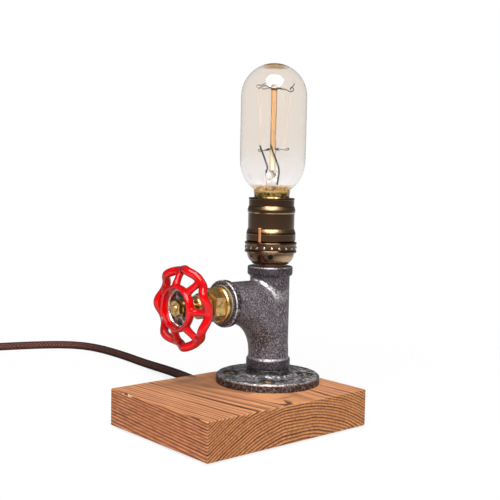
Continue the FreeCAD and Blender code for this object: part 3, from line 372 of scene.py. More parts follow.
def dark_streaks(net, radius):
    """Two thin dark rings in the top's left front part and a dark patch in front of the flange."""
    rings = most(radius.line(119.66, 0.10), radius.line(120.7, 0.14))
    left_front = net.x.falling(1.0 * MM, 6.0 * MM) * net.y.falling(-40.0 * MM, 10.0 * MM)
    patch = net.near((9.0, -36.0, BLOCK_TOP), (13.0, 2.6, 4.0), 0.9)
    return most(rings * left_front, patch * 0.6)


def oiled_wood(name):
    """Softwood whose rings are darker and sharper at their cut ends on the front face than along
    their sides on top.  Sawn faces have dashes and painted shade, the left edge has pale chips,
    and a painted shadow of the handwheel lies behind the flange."""
    net = Net.material(name)
    _, normal_y, normal_z = net.axes(net.add("ShaderNodeNewGeometry", out="Normal"))
    end_grain = net.maths("ABSOLUTE", normal_y).rising(0.5, 0.8)
    top = normal_z.rising(0.5, 0.8)
    side = 1 - most(end_grain, top)
    radius, number = growth_rings(net)
    late = late_wood(net, number, top, end_grain, side)
    fibre = net.noise(0.7, 4.0, 0.65, (1.0, 0.03, 1.0))
    dashes = net.noise(1.3, 3.0, 0.7, (1.0, 0.16, 1.0))
    blotch = net.noise(26.0, 3.0, 0.6, (1.0, 0.45, 1.0))
    sawn = (1 - top) * 0.62
    wood = net.coats(
        tints().early_wood, (end_grain * 0.8, (0.92, 0.50, 0.19)),
        (late, net.blend(top, (0.024, 0.007, 0.003), tints().late_wood)),
        (fibre.rising(0.42, 0.74, 0.60), (0.22, 0.065, 0.022)),
        (dashes.rising(0.50, 0.66) * sawn, (0.085, 0.028, 0.014)),
        (dashes.falling(0.30, 0.44, 0.35) * sawn, (0.86, 0.52, 0.27)),
        (blotch.rising(0.45, 0.8, 0.45), (0.34, 0.115, 0.045)))
    # Painted shade on the sawn faces: the tint below darkens the end grain, more towards -X, and the
    # next lines darken and redden the side faces.
    aged = net.blend(net.x.rising(-60.0 * MM, 50.0 * MM), (0.66, 0.45, 0.32), (0.76, 0.60, 0.45))
    wood = net.blend(end_grain * 0.9, wood, aged, "MULTIPLY")
    wood = net.blend(side * 0.9, wood, (0.98, 0.76, 0.60), "MULTIPLY")
    # Painted shadow of the handwheel on the top, behind the flange.
    handwheel_shadow = net.near((-13.0, 40.0, BLOCK_TOP), (26.0, 9.0, 6.0), 0.9)
    chips = net.near((-70.0, 33.0, BLOCK_TOP), (2.6, 13.0, 2.5), 0.4)
    wood = net.coats(wood, (handwheel_shadow * 0.55, (0.16, 0.085, 0.055)),
                     (dark_streaks(net, radius) * top, (0.10, 0.022, 0.008)),
                     (chips * net.noise(2.2, 3.0, 0.6).rising(0.50, 0.56), (0.80, 0.50, 0.30)))
    return net.finish(Base_Color=wood, Roughness=fibre.level(0.45, 0.62), Specular_IOR_Level=0.22,
                      Normal=net.bump(fibre * 0.6 - late, 0.12))


def cast_iron(net, base, grain, contrast, rough, crest):
    """Sand-cast skin: dark pits and pale worn crests of one grain over a colour, with painted shade
    where it turns away."""
    sand = net.noise(grain, 2.0, 0.7)
    lumps = net.noise(grain * 5.0, 2.0, 0.5)
    # The last coat is painted shade where the surface turns away.
    skin = net.coats(
        base, (sand.falling(0.34, 0.47) * contrast, (0.014, 0.010, 0.011)),
        (sand.rising(0.53, 0.66) * contrast, crest),
        (net.cells(grain * 1.5).falling(0.0, 0.36, contrast), (0.008, 0.006, 0.007)),
        (net.facing().rising(0.55, 0.95, 0.75), (0.020, 0.014, 0.016)))
    return net.finish(Base_Color=skin, Metallic=0.22, Roughness=sand.level(rough + 0.15, rough),
                      Specular_IOR_Level=0.14, Normal=net.bump(sand + lumps * 0.7, grain * 0.28))


def cast_fitting(name):
    """Purple-grey iron: brown low on the sweep's front, dark on the beads, painted shade round the
    branch's mouth and above the branch, and pale painted highlights on the shoulders of the
    beads and on the seam in the corner of branch and run."""
    net = Net.material(name)
    reach = net.reach()
    mouth = low("sweep_tee")[0]
    run, branch = millimetres("run_radius", "branch_radius")
    bloom = net.noise(9.0, 3.0, 0.65).rising(0.44, 0.62, 0.8)
    # Brown, darker patch low on the sweep's front.
    brown_patch = net.near((LAMP_X - 13.0, LAMP_Y - 7.0, TEE_LOW + 23.5), (9.0, 12.0, 13.0), 0.8)
    # Painted shade on the branch's mouth and its bead.
    mouth_shade = net.x.falling((mouth + 4.4) * MM, (mouth + 5.2) * MM, 0.92)
    beads = most(net.height(TEE_TOP - 6.6, TEE_TOP - 6.0),
                 1 - net.height(TEE_LOW + 6.0, TEE_LOW + 6.6))
    # Painted shade above the branch and on the run above it.
    above = net.near((LAMP_X - 26.0, LAMP_Y - 6.0, BRANCH_Z + 12.0), (14.0, 12.0, 8.0), 0.8)
    upper = net.height(BRANCH_Z + 2.0, BRANCH_Z + 12.0) * reach.falling(15.0 * MM, 15.6 * MM)
    shade = most(above, upper) * 0.6
    # Painted highlights: pale, ragged lines on the seam and on the lips and shoulders of the beads.
    seam = (net.branch_reach().line(branch, 1.6) * reach.line(run + 1.1, 1.3)
            * net.height(BRANCH_Z - 1.0, BRANCH_Z + 6.0))
    lip_highlights = most(net.x.line(mouth + 0.6, 0.5) * 0.6, net.z.line(TEE_LOW + 7.2, 0.7) * 0.22,
                net.z.line(TEE_TOP - 0.4, 0.6) * 0.35)
    ragged_highlight = most(seam * 0.9, lip_highlights) * net.noise(1.7, 2.0, 0.6).rising(0.38, 0.50)
    base = net.coats(
        tints().iron, (bloom, (0.075, 0.056, 0.060)), (brown_patch * 0.85, (0.045, 0.028, 0.026)),
        (mouth_shade, (0.020, 0.014, 0.018)), (beads * 0.85, (0.026, 0.020, 0.024)),
        (shade, (0.040, 0.030, 0.038)), (ragged_highlight, (0.74, 0.71, 0.72)))
    crest = net.blend(most(beads, shade), (0.40, 0.37, 0.39), (0.17, 0.15, 0.165))
    return cast_iron(net, base, 1.05, 0.75, 0.30, crest)


def cast_flange(name):
    """Coarse brown-black iron: the plate's top is bluish and its edge has a painted highlight; the
    hub and the ring round each screw have painted shade."""
    net = Net.material(name)
    plate = FLANGE_TOP - 4.9
    bluish = net.height(plate - 0.5, plate)
    mottle = net.noise(3.0, 3.0, 0.7, (1.0, 0.5, 1.0)).ramp(
        (0.40, (0.016, 0.014, 0.014)), (0.47, (0.11, 0.10, 0.105)), (0.54, (0.24, 0.235, 0.26)),
        (0.62, (0.66, 0.62, 0.60)))
    # Painted shade on the hub.
    hub = net.height(plate + 0.2, plate + 1.2) * 0.9
    # Painted highlight, pale and ragged, along the top of the plate's outer edge.
    edge = net.height(plate - 1.3, plate - 0.7) * net.reach().rising(34.7 * MM, 35.4 * MM)
    ragged_highlight = net.noise(1.6, 2.0, 0.6).level(0.25, 1.0, 0.40, 0.6)
    # Painted shade in the countersinks round the screws.
    wells = most(*(net.reach(*spot).falling(5.4 * MM, 6.4 * MM, 0.95) for spot in SCREW_SPOTS))
    underside = 1 - net.height(plate - 1.6, plate - 1.2)
    base = net.coats(
        tints().rust, (bluish, mottle), (hub, (0.012, 0.010, 0.010)),
        (edge * ragged_highlight, (0.27, 0.23, 0.21)), (wells, (0.010, 0.008, 0.008)),
        (underside * 0.6, (0.030, 0.018, 0.014)))
    crest = net.coats((0.20, 0.145, 0.125), (bluish, (0.74, 0.70, 0.70)),
                      (most(hub, wells), (0.035, 0.032, 0.032)))
    return cast_iron(net, base, 1.7, 1.0, 0.34, crest)


def turned_metal(name, tint, wear, rough, axis="Z", spread=0.5, dark=0.0):
    """Turned metal: hair-fine rings round its own axis, dulled in blots and, where asked, with
    painted shade where it turns away."""
    net = Net.material(name)
    rings = net.noise(0.3, 2.0, 0.5, {"X": (1.0, 0.02, 0.02), "Z": (0.02, 0.02, 1.0)}[axis])
    dull = net.noise(3.0, 4.0, 0.65)
    base = net.blend(dull.rising(0.45, 0.68, spread), tint, wear)
    # Painted shade where the metal turns away.
    if dark:
        base = net.blend(net.facing(0.4) * dark, base, (0.03, 0.018, 0.008))
    return net.finish(Base_Color=base, Metallic=1.0, Roughness=dull.level(rough, rough + 0.2),
                      Normal=net.bump(rings, 0.03))


def brass(name):
    return turned_metal(name, tints().brass, (0.10, 0.055, 0.022), 0.15, "X", 0.8, 0.75)


def copper(name):
    return turned_metal(name, tints().copper, (0.3, 0.12, 0.06), 0.3)


def pin_metal(name):
    return turned_metal(name, (0.72, 0.66, 0.52), (0.4, 0.35, 0.25), 0.2)


def steel(name, shade):
    return turned_metal(name, (shade, shade, shade * 1.02), (shade * 0.6,) * 3, 0.25)


def red_paint(name):
    """Thick glossy paint over a casting, darker in patches, with painted shade where it turns away.
    """
    net = Net.material(name)
    patches = net.noise(8.0, 2.0, 0.5).rising(0.4, 0.8, 0.5)
    # Darker patches, then painted shade where the paint turns away.
    base = net.coats(tints().enamel, (patches, (0.42, 0.001, 0.003)),
                     (net.facing(0.40) * 0.95, (0.07, 0.001, 0.003)))
    return net.finish(Base_Color=base, Roughness=0.02, IOR=1.4, Specular_IOR_Level=0.5)


def aged_bronze(name):
    """Dark chemical finish of blotched gloss, worn through to brass along thin turned lines, with
    painted highlights on the studs, on two swellings and on the cap's front."""
    net = Net.material(name)
    ring_low, ring_top = low("socket_ring")[2], high("socket_ring")[2]
    edges = ((ring_top + 19.9, 0.35, 0.8), (ring_top + 5.4, 0.30, 0.35), (ring_top - 0.4, 0.40, 0.25),
             (ring_top - 1.8, 0.30, 0.15), (ring_low + 0.5, 0.40, 0.3),
             (high("socket_shell")[2], 0.5, 0.5))
    lines = most(*(net.z.line(at, half) * much for at, half, much in edges))
    worn = net.noise(4.0, 3.0, 0.6).level(0.25, 1.0, 0.40, 0.60)
    # Painted highlights on the studs of the ring.
    studs = (net.z.line((ring_low + ring_top) / 2, 1.2)
             * net.reach().rising(17.78 * MM, 17.88 * MM, 0.75))
    # Painted highlights: brighter, rougher bands on the two swellings.
    swellings = most(net.z.line(ring_top + 23.2, 1.5), net.z.line(ring_top + 8.0, 1.6))
    # Painted highlight: a pale, rougher patch on the cap's front.
    front = net.near((LAMP_X + 2.0, LAMP_Y - 16.0, TEE_TOP + 5.5), (13.0, 9.0, 4.6), 0.7)
    base = net.coats(
        tints().bronze, (lines * worn, (0.60, 0.42, 0.22)), (studs, (0.74, 0.66, 0.52)),
        (swellings * 0.34, (0.30, 0.20, 0.11)), (front * 0.7, (0.56, 0.38, 0.22)))
    rough = net.noise(5.0, 4.0, 0.65).level(0.14, 0.22) + swellings * 0.10 + front * 0.15
    return net.finish(Base_Color=base, Metallic=1.0, Roughness=rough, Coat_Weight=0.35,
                      Coat_Roughness=0.12, Normal=net.bump(net.noise(0.5, 3.0, 0.6), 0.012))


def bulb_glass(name):
    """Clear glass, near neutral low down and amber above, with faint upright streaks, golden
    blots at the foot and a golden cap at the crown."""
    net = Net.material(name)
    skirt, crown = high("bulb_cap")[2], high("bulb_glass")[2]
    streaks = net.noise(7.0, 2.0, 0.5, (1.0, 1.0, 0.1)).level(-0.25, 0.25)
    rise = net.height(skirt + 3.8, skirt + 36.8) + streaks
    foot = 1 - net.height(skirt + 2.1, skirt + 4.2)
    # Golden band at the crown, in blots.
    crown_gold = net.noise(6.0, 2.0, 0.6).ramp((0.35, (0.30, 0.15, 0.035)), (0.65, (0.62, 0.40, 0.12)))
    tint = net.coats((0.925, 0.910, 0.908), (rise.level(0.0, 1.0), tints().glass),
                     (foot * net.noise(2.4, 2.0, 0.6).level(0.35, 1.0, 0.4, 0.6), (0.60, 0.36, 0.07)),
                     (net.height(crown - 2.35, crown - 2.05), crown_gold))
    return net.finish(Base_Color=tint, Roughness=0.0, IOR=1.45, Transmission_Weight=1.0)


def inner_glass(name):
    """Pinched, slightly cloudy glass of the bulb's mount, with brown creases and painted shade
    where it turns away.
    """
    net = Net.material(name)
    cloud = net.noise(2.0, 3.0, 0.6)
    creases = net.noise(3.2, 2.0, 0.6, (1.0, 1.0, 0.6)).rising(0.56, 0.60)
    # Painted shade where the glass turns away, laid with the creases.
    rim = net.facing().rising(0.55, 0.8)
    tint = net.coats((0.99, 0.98, 0.97), (cloud.rising(0.4, 0.7), (0.90, 0.86, 0.82)),
                     (most(creases, rim) * 0.9, (0.15, 0.07, 0.03)))
    return net.finish(Base_Color=tint, Roughness=0.04, IOR=1.30, Transmission_Weight=0.9,
                      Normal=net.bump(cloud, 0.35))


def amber_rod(name):
    """Rod of amber glass, pale at its root, with brown painted shade along its sides where it
    turns away.
    """
    net = Net.material(name)
    foot = low("support_rod")[2]
    # Painted shade along the rod's sides, where it turns away.
    side = net.facing().level(0.1, 1.0, 0.14, 0.55)
    tint = net.coats(tints().amber,
                     (net.noise(4.0, 3.0, 0.6).rising(0.4, 0.7, 0.6), (0.58, 0.41, 0.24)),
                     (side, (0.26, 0.12, 0.035)))
    root = net.blend(side, (0.90, 0.80, 0.56), (0.42, 0.30, 0.16))
    return net.finish(Base_Color=net.blend(net.height(foot + 13.1, foot + 14.5), root, tint),
                      Roughness=0.25)


def wheel_plate_metal(name):
    """Dark plate with a bright rolled edge; its flat is blotched brown and purple-black."""
    net = Net.material(name)
    blot = net.noise(5.0, 3.0, 0.65).ramp((0.40, (0.020, 0.015, 0.022)),
                                          (0.52, (0.12, 0.09, 0.075)), (0.66, (0.46, 0.42, 0.40)))
    rim = net.branch_reach().rising(10.8 * MM, 11.4 * MM)
    return net.finish(Base_Color=net.blend(rim, blot, (0.80, 0.78, 0.75)), Metallic=0.9,
                      Roughness=0.22, Normal=net.bump(net.noise(2.5, 2.0, 0.5), 0.2))


YARNS, YARN_PITCHES = 5, 116


def braided_textile(name):
    """Two sets of yarns wound opposite ways round the lead.  A yarn set's height is the sine of
    TAU * yarns * (turn + or - pitches * way along the lead), and whichever is higher shows."""
    net = Net.material(name)
    along, around, _ = net.axes(net.add("ShaderNodeUVMap"))
    turn, travel = around * (YARNS * TAU), along * (YARNS * YARN_PITCHES * TAU)
    left, right = net.maths("SINE", turn + travel), net.maths("SINE", turn - travel)
    yarn = most(left, right)
    # The last coat is painted shade where the lead turns away.
    base = net.coats(
        tints().textile, (yarn.falling(0.2, 1.0), (0.012, 0.004, 0.003)),
        ((left * right).rising(0.35, 0.9, 0.8), (0.36, 0.16, 0.13)),
        (net.facing().rising(0.05, 0.80, 0.97), (0.006, 0.002, 0.002)))
    return net.finish(Base_Color=base, Roughness=0.8, Specular_IOR_Level=0.04,
                      Normal=net.bump(yarn + net.noise(0.5, 3.0, 0.6) * 0.4, 0.22))


def bulb_metal(name):
    """Brass skirt, with painted shadow in patches round its lower part."""
    net = Net.material(name)
    skirt = high("bulb_cap")[2]
    # Painted shadow in patches on the skirt's lower part.
    skirt_shadow = (net.height(skirt - 1.8, skirt - 0.4).level(1.0, 0.15)
             * net.noise(2.2, 3.0, 0.65).level(0.35, 1.0, 0.35, 0.6))
    base = net.blend(skirt_shadow, (0.58, 0.39, 0.13), (0.035, 0.022, 0.010))
    return net.finish(Base_Color=base, Metallic=1.0, Roughness=skirt_shadow.level(0.2, 0.4))


def screw_head(name):
    """Countersunk head, dark, with painted highlights in tan glints."""
    net = Net.material(name)
    # Painted highlights: tan glints on the dark head.
    glint = net.noise(2.4, 2.0, 0.6).rising(0.46, 0.56)
    return net.finish(Base_Color=net.blend(glint, (0.020, 0.014, 0.010), (0.72, 0.50, 0.26)),
                      Metallic=0.8, Roughness=0.3)


def plain(name, tint, other, feature, rough, relief=0.02):
    """Moulded, drawn or fibrous stuff: two close tints in blots and a faint relief."""
    net = Net.material(name)
    blot = net.noise(feature, 4.0, 0.6)
    return net.finish(Base_Color=net.blend(blot.rising(0.35, 0.70), tint, other),
                      Roughness=blot.level(rough, rough + 0.15), Normal=net.bump(blot, relief))


FINISHES = {make.__name__: make for make in (
    oiled_wood, cast_flange, cast_fitting, brass, copper, pin_metal, red_paint, aged_bronze,
    bulb_glass, inner_glass, amber_rod, wheel_plate_metal, braided_textile, bulb_metal, screw_head)}
STEEL_SHADES = {"pipe_steel": 0.25, "bright_steel": 0.55, "dark_steel": 0.03}
# Tint, other tint, size of the blots, roughness and, where it isn't faint, relief
PLAIN = {
    "felt": ((0.05, 0.045, 0.042), (0.09, 0.08, 0.075), 0.3, 0.9, 0.15),
    "black_rubber": ((0.018, 0.017, 0.017), (0.03, 0.028, 0.028), 0.8, 0.6),
    "filament_thread": ((0.80, 0.68, 0.58), (0.62, 0.47, 0.38), 6.0, 0.6),
    "filament_wire": ((0.006, 0.004, 0.003), (0.020, 0.012, 0.008), 2.5, 0.7),
    "porcelain": ((0.80, 0.78, 0.74), (0.72, 0.70, 0.66), 3.0, 0.3),
    "fibre": ((0.10, 0.035, 0.025), (0.16, 0.06, 0.04), 1.0, 0.7),
    "dimmer_plastic": ((0.03, 0.03, 0.032), (0.045, 0.045, 0.05), 2.0, 0.5),
    "packing_fibre": ((0.16, 0.14, 0.11), (0.24, 0.21, 0.17), 0.5, 0.85, 0.1),
    "wire_blue": ((0.02, 0.09, 0.42), (0.03, 0.12, 0.5), 1.5, 0.4),
    "wire_brown": ((0.14, 0.055, 0.025), (0.2, 0.08, 0.04), 1.5, 0.4),
    "plug_plastic": ((0.022, 0.020, 0.020), (0.035, 0.032, 0.031), 0.9, 0.45),
}


def finish(slot):
    """The material of a slot, made the first time it is asked for."""
    name = slot + "_finish"
    if name in bpy.data.materials:
        return bpy.data.materials[name]
    if slot in STEEL_SHADES:
        return steel(name, STEEL_SHADES[slot])
    if slot in PLAIN:
        return plain(name, *PLAIN[slot])
    return FINISHES[slot](name)


def finish_nodes(*names):
    """Gives frame nodes the finish of their own slots."""
    for name in names:
        mesh = NODES[name].data
        mesh.materials.clear()
        mesh.materials.append(finish(SLOT_OF[name]))


# ---------------------------------------------------------------- surfaces

def new_object(name, data):
    """An object of the scene, at the origin."""
    item = bpy.data.objects.new(name, data)
    bpy.context.scene.collection.objects.link(item)
    return item


def new_piece(name, points, faces, body, slot, stands_for=()):
    """Puts points (millimetres) and faces into a smooth mesh that rides on a body."""
    mesh = bpy.data.meshes.new(name)
    mesh.from_pydata(np.asarray(points) * MM, [], faces)
    mesh.update()
    mesh.shade_smooth()
    piece = new_object(name, mesh)
    mesh.materials.append(finish(slot))
    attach(piece, body)
    if stands_for:
        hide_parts(*stands_for)
    return piece


def melt(piece, voxel, passes):
    """Melts overlapping parts into one skin of `voxel` millimetres and rounds its inner corners."""
    skin = piece.modifiers.new("melt", "REMESH")
    skin.mode = "VOXEL"
    skin.voxel_size = voxel * MM
    skin.use_smooth_shade = True
    soften = piece.modifiers.new("soften", "SMOOTH")
    soften.factor = 0.5
    soften.iterations = passes


def unit(vectors):
    """Vectors scaled to length 1."""
    return vectors / np.linalg.norm(vectors, axis=-1, keepdims=True)


def circles(centres, radii, side, up, around):
    """One circle for each centre: point = centre + radius * (cos * side + sin * up), for `around`
    equal steps of the angle."""
    angle = np.linspace(0, TAU, around, endpoint=False)[None, :, None]
    side, up = (np.broadcast_to(v, centres.shape)[:, None] for v in (side, up))
    return centres[:, None] + radii[:, None, None] * (np.cos(angle) * side + np.sin(angle) * up)


def grid_faces(rows, columns, wrap_rows=False):
    """Quads between neighbours of a grid whose rows are closed circles; where the rows wrap, the
    last one joins the first."""
    r = np.arange(rows if wrap_rows else rows - 1)[:, None]
    c = np.arange(columns)[None, :]
    up, across = (r + 1) % rows, (c + 1) % columns
    quads = np.stack(np.broadcast_arrays(
        r * columns + c, r * columns + across, up * columns + across, up * columns + c), axis=-1)
    return quads.reshape(-1, 4).tolist()


def fillet_profile(corners, steps=5):
    """Corners (radius, height, soft) joined by straight lines, each rounded by a quadratic curve
    that starts and ends `soft` away from it."""
    corners = np.array(corners, float)
    line = []
    for i, soft in enumerate(corners[:, 2]):
        here = corners[i, :2]
        if soft == 0 or i in (0, len(corners) - 1):
            line.append(here)
            continue
        back, ahead = corners[i - 1, :2] - here, corners[i + 1, :2] - here
        start = here + back * min(0.5, soft / np.linalg.norm(back))
        end = here + ahead * min(0.5, soft / np.linalg.norm(ahead))
        t = np.linspace(0, 1, steps)[:, None]
        line.extend((1 - t) ** 2 * start + 2 * t * (1 - t) * here + t ** 2 * end)
    return np.array(line)


def turned_grid(profile, around, frame_at):
    """Profile (radius, height) carried round an axis: circles at origin + height * axis.  The
    last argument holds origin, axis, side and up."""
    origin, axis, side, up = (np.array(v, float) for v in frame_at)
    return circles(origin + profile[:, 1:] * axis, profile[:, 0], side, up, around)


UPRIGHT = ((LAMP_X, LAMP_Y, 0), (0, 0, 1), (1, 0, 0), (0, 1, 0))
BRANCH = ((LAMP_X, LAMP_Y, BRANCH_Z), (-1, 0, 0), (0, 0, 1), (0, 1, 0))


def turned_mesh(profile, around=96, frame_at=UPRIGHT):
    """Closed surface of a turned grid: the profile starts and ends on the axis, where a fan of
    triangles closes it, or it runs round a wall."""
    profile = np.array(profile, float)
    on_axis = profile[0, 0] == 0 and profile[-1, 0] == 0
    if not on_axis:
        points = turned_grid(profile, around, frame_at).reshape(-1, 3)
        return points, grid_faces(len(profile), around, wrap_rows=True)
    body = turned_grid(profile[1:-1], around, frame_at)
    ends = turned_grid(profile[[0, -1]], 1, frame_at).reshape(-1, 3)
    rows = len(profile) - 2
    faces = grid_faces(rows, around)
    first, last = rows * around, rows * around + 1
    near = np.arange(around)
    after = (near + 1) % around
    faces += np.stack([np.full(around, first), after, near], -1).tolist()
    top = (rows - 1) * around
    faces += np.stack([np.full(around, last), top + near, top + after], -1).tolist()
    return np.concatenate([body.reshape(-1, 3), ends]), faces


DOME_RADII = np.array([0.02, 0.7])


def swept_mesh(path, radii, around=16, closed=False):
    """Round section carried along a path: circles whose side and up are square to it.  An open
    end is closed by a dome of two more circles, 0.6 and 0.7 of the radius beyond it."""
    path, radii = np.asarray(path, float), np.broadcast_to(radii, len(path)).astype(float)
    if not closed:
        first = unit(path[0] - path[1]) * radii[0]
        last = unit(path[-1] - path[-2]) * radii[-1]
        path = np.concatenate([[path[0] + first * 0.7, path[0] + first * 0.6], path,
                               [path[-1] + last * 0.6, path[-1] + last * 0.7]])
        radii = np.concatenate([radii[0] * DOME_RADII, radii, radii[-1] * DOME_RADII[::-1]])
        ahead = np.gradient(path, axis=0)
    else:
        ahead = np.roll(path, -1, 0) - np.roll(path, 1, 0)
    ahead = unit(ahead)
    guide = np.eye(3)[np.argmin(np.abs(ahead).max(0))]
    side = unit(np.cross(ahead, guide))
    points = circles(path, radii, side, np.cross(ahead, side), around)
    return points.reshape(-1, 3), grid_faces(len(path), around, wrap_rows=closed)


def joined(*meshes):
    """Several surfaces as one list of points and faces."""
    points, faces, base = [], [], 0
    for p, f in meshes:
        points.append(p)
        faces += [[i + base for i in face] for face in f]
        base += len(p)
    return np.concatenate(points), faces


# ---------------------------------------------------------------- tee

def pipe_bend(path, outer, inner, around=64):
    """Pipe along a path in the XZ plane: circles of the outside run forwards and those of the bore
    run back, so that the wall is closed."""
    order = np.r_[0:len(path), len(path) - 1:-1:-1]
    across = np.array((0.0, 1.0, 0.0))
    up = np.cross(across, unit(np.gradient(path, axis=0)))
    radii = np.repeat((outer, inner), len(path))
    points = circles(path[order], radii, across, up[order], around)
    return points.reshape(-1, 3), grid_faces(len(order), around, wrap_rows=True)


TEE_BORE, TEE_CORE = 10.5, 10.9
LOW_BEAD, TOP_BEAD, MOUTH_BEAD = 15.35, 15.65, 15.9


def make_tee():
    """Run, sweep, straight branch, mouth bead and casting seam melted into one skin.

    The sweep's middle line is the arc (x, z) = centre + sweep * (cos a, sin a) for a from 0 to 90
    degrees.  The seam follows the corner between branch and run, where height = middle of the
    branch + sqrt(branch ^ 2 - y ^ 2), sinks below it by 3.2 * t ^ 0.6 as t goes from 0 to 1 round
    the run, and is thickest near its middle."""
    run, branch, sweep = millimetres("run_radius", "branch_radius", "sweep_radius")
    mouth = LAMP_X - low("sweep_tee")[0]
    bend_z = BRANCH_Z - sweep
    wall = fillet_profile([
        (TEE_BORE, TEE_LOW, 0), (LOW_BEAD, TEE_LOW, 0.7), (LOW_BEAD, TEE_LOW + 6.7, 0.9),
        (run, TEE_LOW + 7.2, 0.5), (run, TEE_TOP - 6.6, 0.5), (TOP_BEAD, TEE_TOP - 6.0, 0.9),
        (TOP_BEAD, TEE_TOP, 0.7), (TEE_BORE, TEE_TOP, 0)], 6)
    a = np.linspace(0, math.pi / 2, 48)
    arc = np.stack([sweep * np.cos(a) - sweep, 0 * a, bend_z + sweep * np.sin(a)], -1)
    path = np.concatenate([[(0, 0, TEE_LOW + 5.0)], arc, [(-mouth + 1.0, 0, BRANCH_Z)]])
    path += (LAMP_X, LAMP_Y, 0)
    sweep_skin = pipe_bend(path, branch, TEE_CORE)
    straight = turned_mesh(fillet_profile([
        (TEE_CORE, 8.0, 0), (branch, 0.5, 0), (branch, mouth - 5.6, 0.5),
        (MOUTH_BEAD, mouth - 4.9, 0.9), (MOUTH_BEAD, mouth, 0.8), (TEE_BORE, mouth, 0)], 6),
        96, BRANCH)
    t = np.linspace(0, 1, 60)
    turn = np.radians(176.0 + 112.0 * t)
    level = BRANCH_Z + np.sqrt(np.maximum(branch ** 2 - (run * np.sin(turn)) ** 2, 0.0))
    level -= 3.2 * t ** 0.6
    seam = np.stack([LAMP_X + (run + 0.1) * np.cos(turn), LAMP_Y + (run + 0.1) * np.sin(turn),
                     level], -1)
    seam_skin = swept_mesh(seam, 0.5 + 1.5 * np.sin(math.pi * t ** 0.8) ** 1.5, 12)
    tee = new_piece("tee_casting", *joined(turned_mesh(wall, 96), sweep_skin, straight, seam_skin),
                    "stand", "cast_fitting", ["sweep_tee"])
    melt(tee, voxel=0.62, passes=5)


# ---------------------------------------------------------------- handwheel

def wheel_point(radius, along, turn):
    """Point at a radius and angle of the wheel, from its front side upwards, `along` the branch."""
    radius, along, turn = np.broadcast_arrays(radius, along, turn)
    return np.stack([LAMP_X - along, LAMP_Y - radius * np.cos(turn),
                     BRANCH_Z + radius * np.sin(turn)], -1)


FIRST_PETAL = math.radians(75.0)
SPOKE_ROOT, SPOKE_ROOT_AT = 15.2, 78.6
CUP_WALL = [(3.0, 70.0, 0), (5.6, 70.0, 0.6), (6.2, 71.0, 0.5), (6.2, 74.6, 0.6), (12.4, 74.8, 1.5),
            (15.4, 77.8, 1.5), (15.4, 81.0, 0.9), (14.2, 82.6, 0.8), (12.7, 82.4, 0.6),
            (12.7, 77.0, 0), (3.0, 77.0, 0)]


def make_handwheel():
    """Rim: with w = (1 + cos(petals * a)) / 2, the radius grows from valley to petal as w ^ 0.7
    and the place along the branch as w ^ 1.5.  Spokes run from the cup's wall to the valleys:
    radius = root + (valley - root) * t, and the place along the branch goes with t ^ 1.1."""
    petals = sizes().petals
    angle = np.linspace(0, TAU, petals * 40, endpoint=False)
    wave = (1.0 + np.cos(petals * angle)) / 2.0
    valley, petal, rim = millimetres("rim_radius", "lobe_radius", "rim_tube")
    valley_at, petal_at, spoke = millimetres("rim_at", "lobe_at", "spoke_tube")
    radius = valley + (petal - valley) * wave ** 0.7
    along = valley_at + (petal_at - valley_at) * wave ** 1.5
    parts = [swept_mesh(wheel_point(radius, along, FIRST_PETAL + angle), rim, 20, closed=True)]
    t = np.linspace(0, 1, 12)
    for i in range(petals):
        turn = FIRST_PETAL + (i + 0.5) * TAU / petals
        out = SPOKE_ROOT + (valley - SPOKE_ROOT) * t
        at = SPOKE_ROOT_AT + (valley_at - SPOKE_ROOT_AT) * t ** 1.1
        thick = spoke * (1.06 - 0.16 * np.sin(math.pi * t))
        parts.append(swept_mesh(wheel_point(out, at, turn), thick, 16))
    parts.append(turned_mesh(fillet_profile(CUP_WALL, 6), 96, BRANCH))
    wheel = new_piece("handwheel_casting", *joined(*parts), "handwheel_set", "red_paint",
                      ["handwheel"])
    melt(wheel, voxel=0.45, passes=6)


# ---------------------------------------------------------------- lampholder

STUD_RADIUS, STUD_HEIGHT, STUD_REACH = 0.95, 0.42, 17.6
FIRST_STUD = math.radians(230)


def make_studded_ring():
    """Turned ring with a row of studs: each is a low dome on the ring's face, whose height is
    0.42 * sin(t) where its radius is 0.95 * cos(t)."""
    ring_low, ring_top = low("socket_ring")[2], high("socket_ring")[2]
    ring = fillet_profile([
        (16.2, ring_low, 0), (17.7, ring_low, 0.3), (18.0, ring_low + 0.5, 0.3),
        (18.0, ring_low + 1.4, 0.3), (17.65, ring_low + 1.9, 0.3), (17.65, ring_top - 1.9, 0.3),
        (18.0, ring_top - 1.4, 0.3), (18.0, ring_top - 0.5, 0.3), (17.7, ring_top, 0.3),
        (16.2, ring_top, 0)])
    parts = [turned_mesh(ring, 144)]
    t = np.linspace(0, math.pi / 2, 6)
    dome = np.stack([STUD_RADIUS * np.cos(t), STUD_HEIGHT * np.sin(t)], -1)
    dome[-1, 0] = 0.0
    dome = np.concatenate([[[0.0, -0.6], [STUD_RADIUS, -0.6]], dome])
    for i in range(sizes().stud_count):
        a = FIRST_STUD + TAU * i / sizes().stud_count
        out = np.array([math.cos(a), math.sin(a), 0])
        at = np.array([LAMP_X, LAMP_Y, (ring_low + ring_top) / 2]) + out * STUD_REACH
        parts.append(turned_mesh(dome, 12, (at, out, (-out[1], out[0], 0), (0, 0, 1))))
    new_piece("studded_ring", *joined(*parts), "stand", "aged_bronze", ["socket_ring"])


# ---------------------------------------------------------------- bulb

BULB_RADIUS, BULB_WALL = 22.5, 0.8
BULB_SHOULDER = [(22.5, 22.8), (22.3, 18.0), (21.4, 13.0), (19.5, 8.5), (16.8, 4.4), (13.7, 1.4),
                 (11.6, -0.2), (11.4, -2.0)]


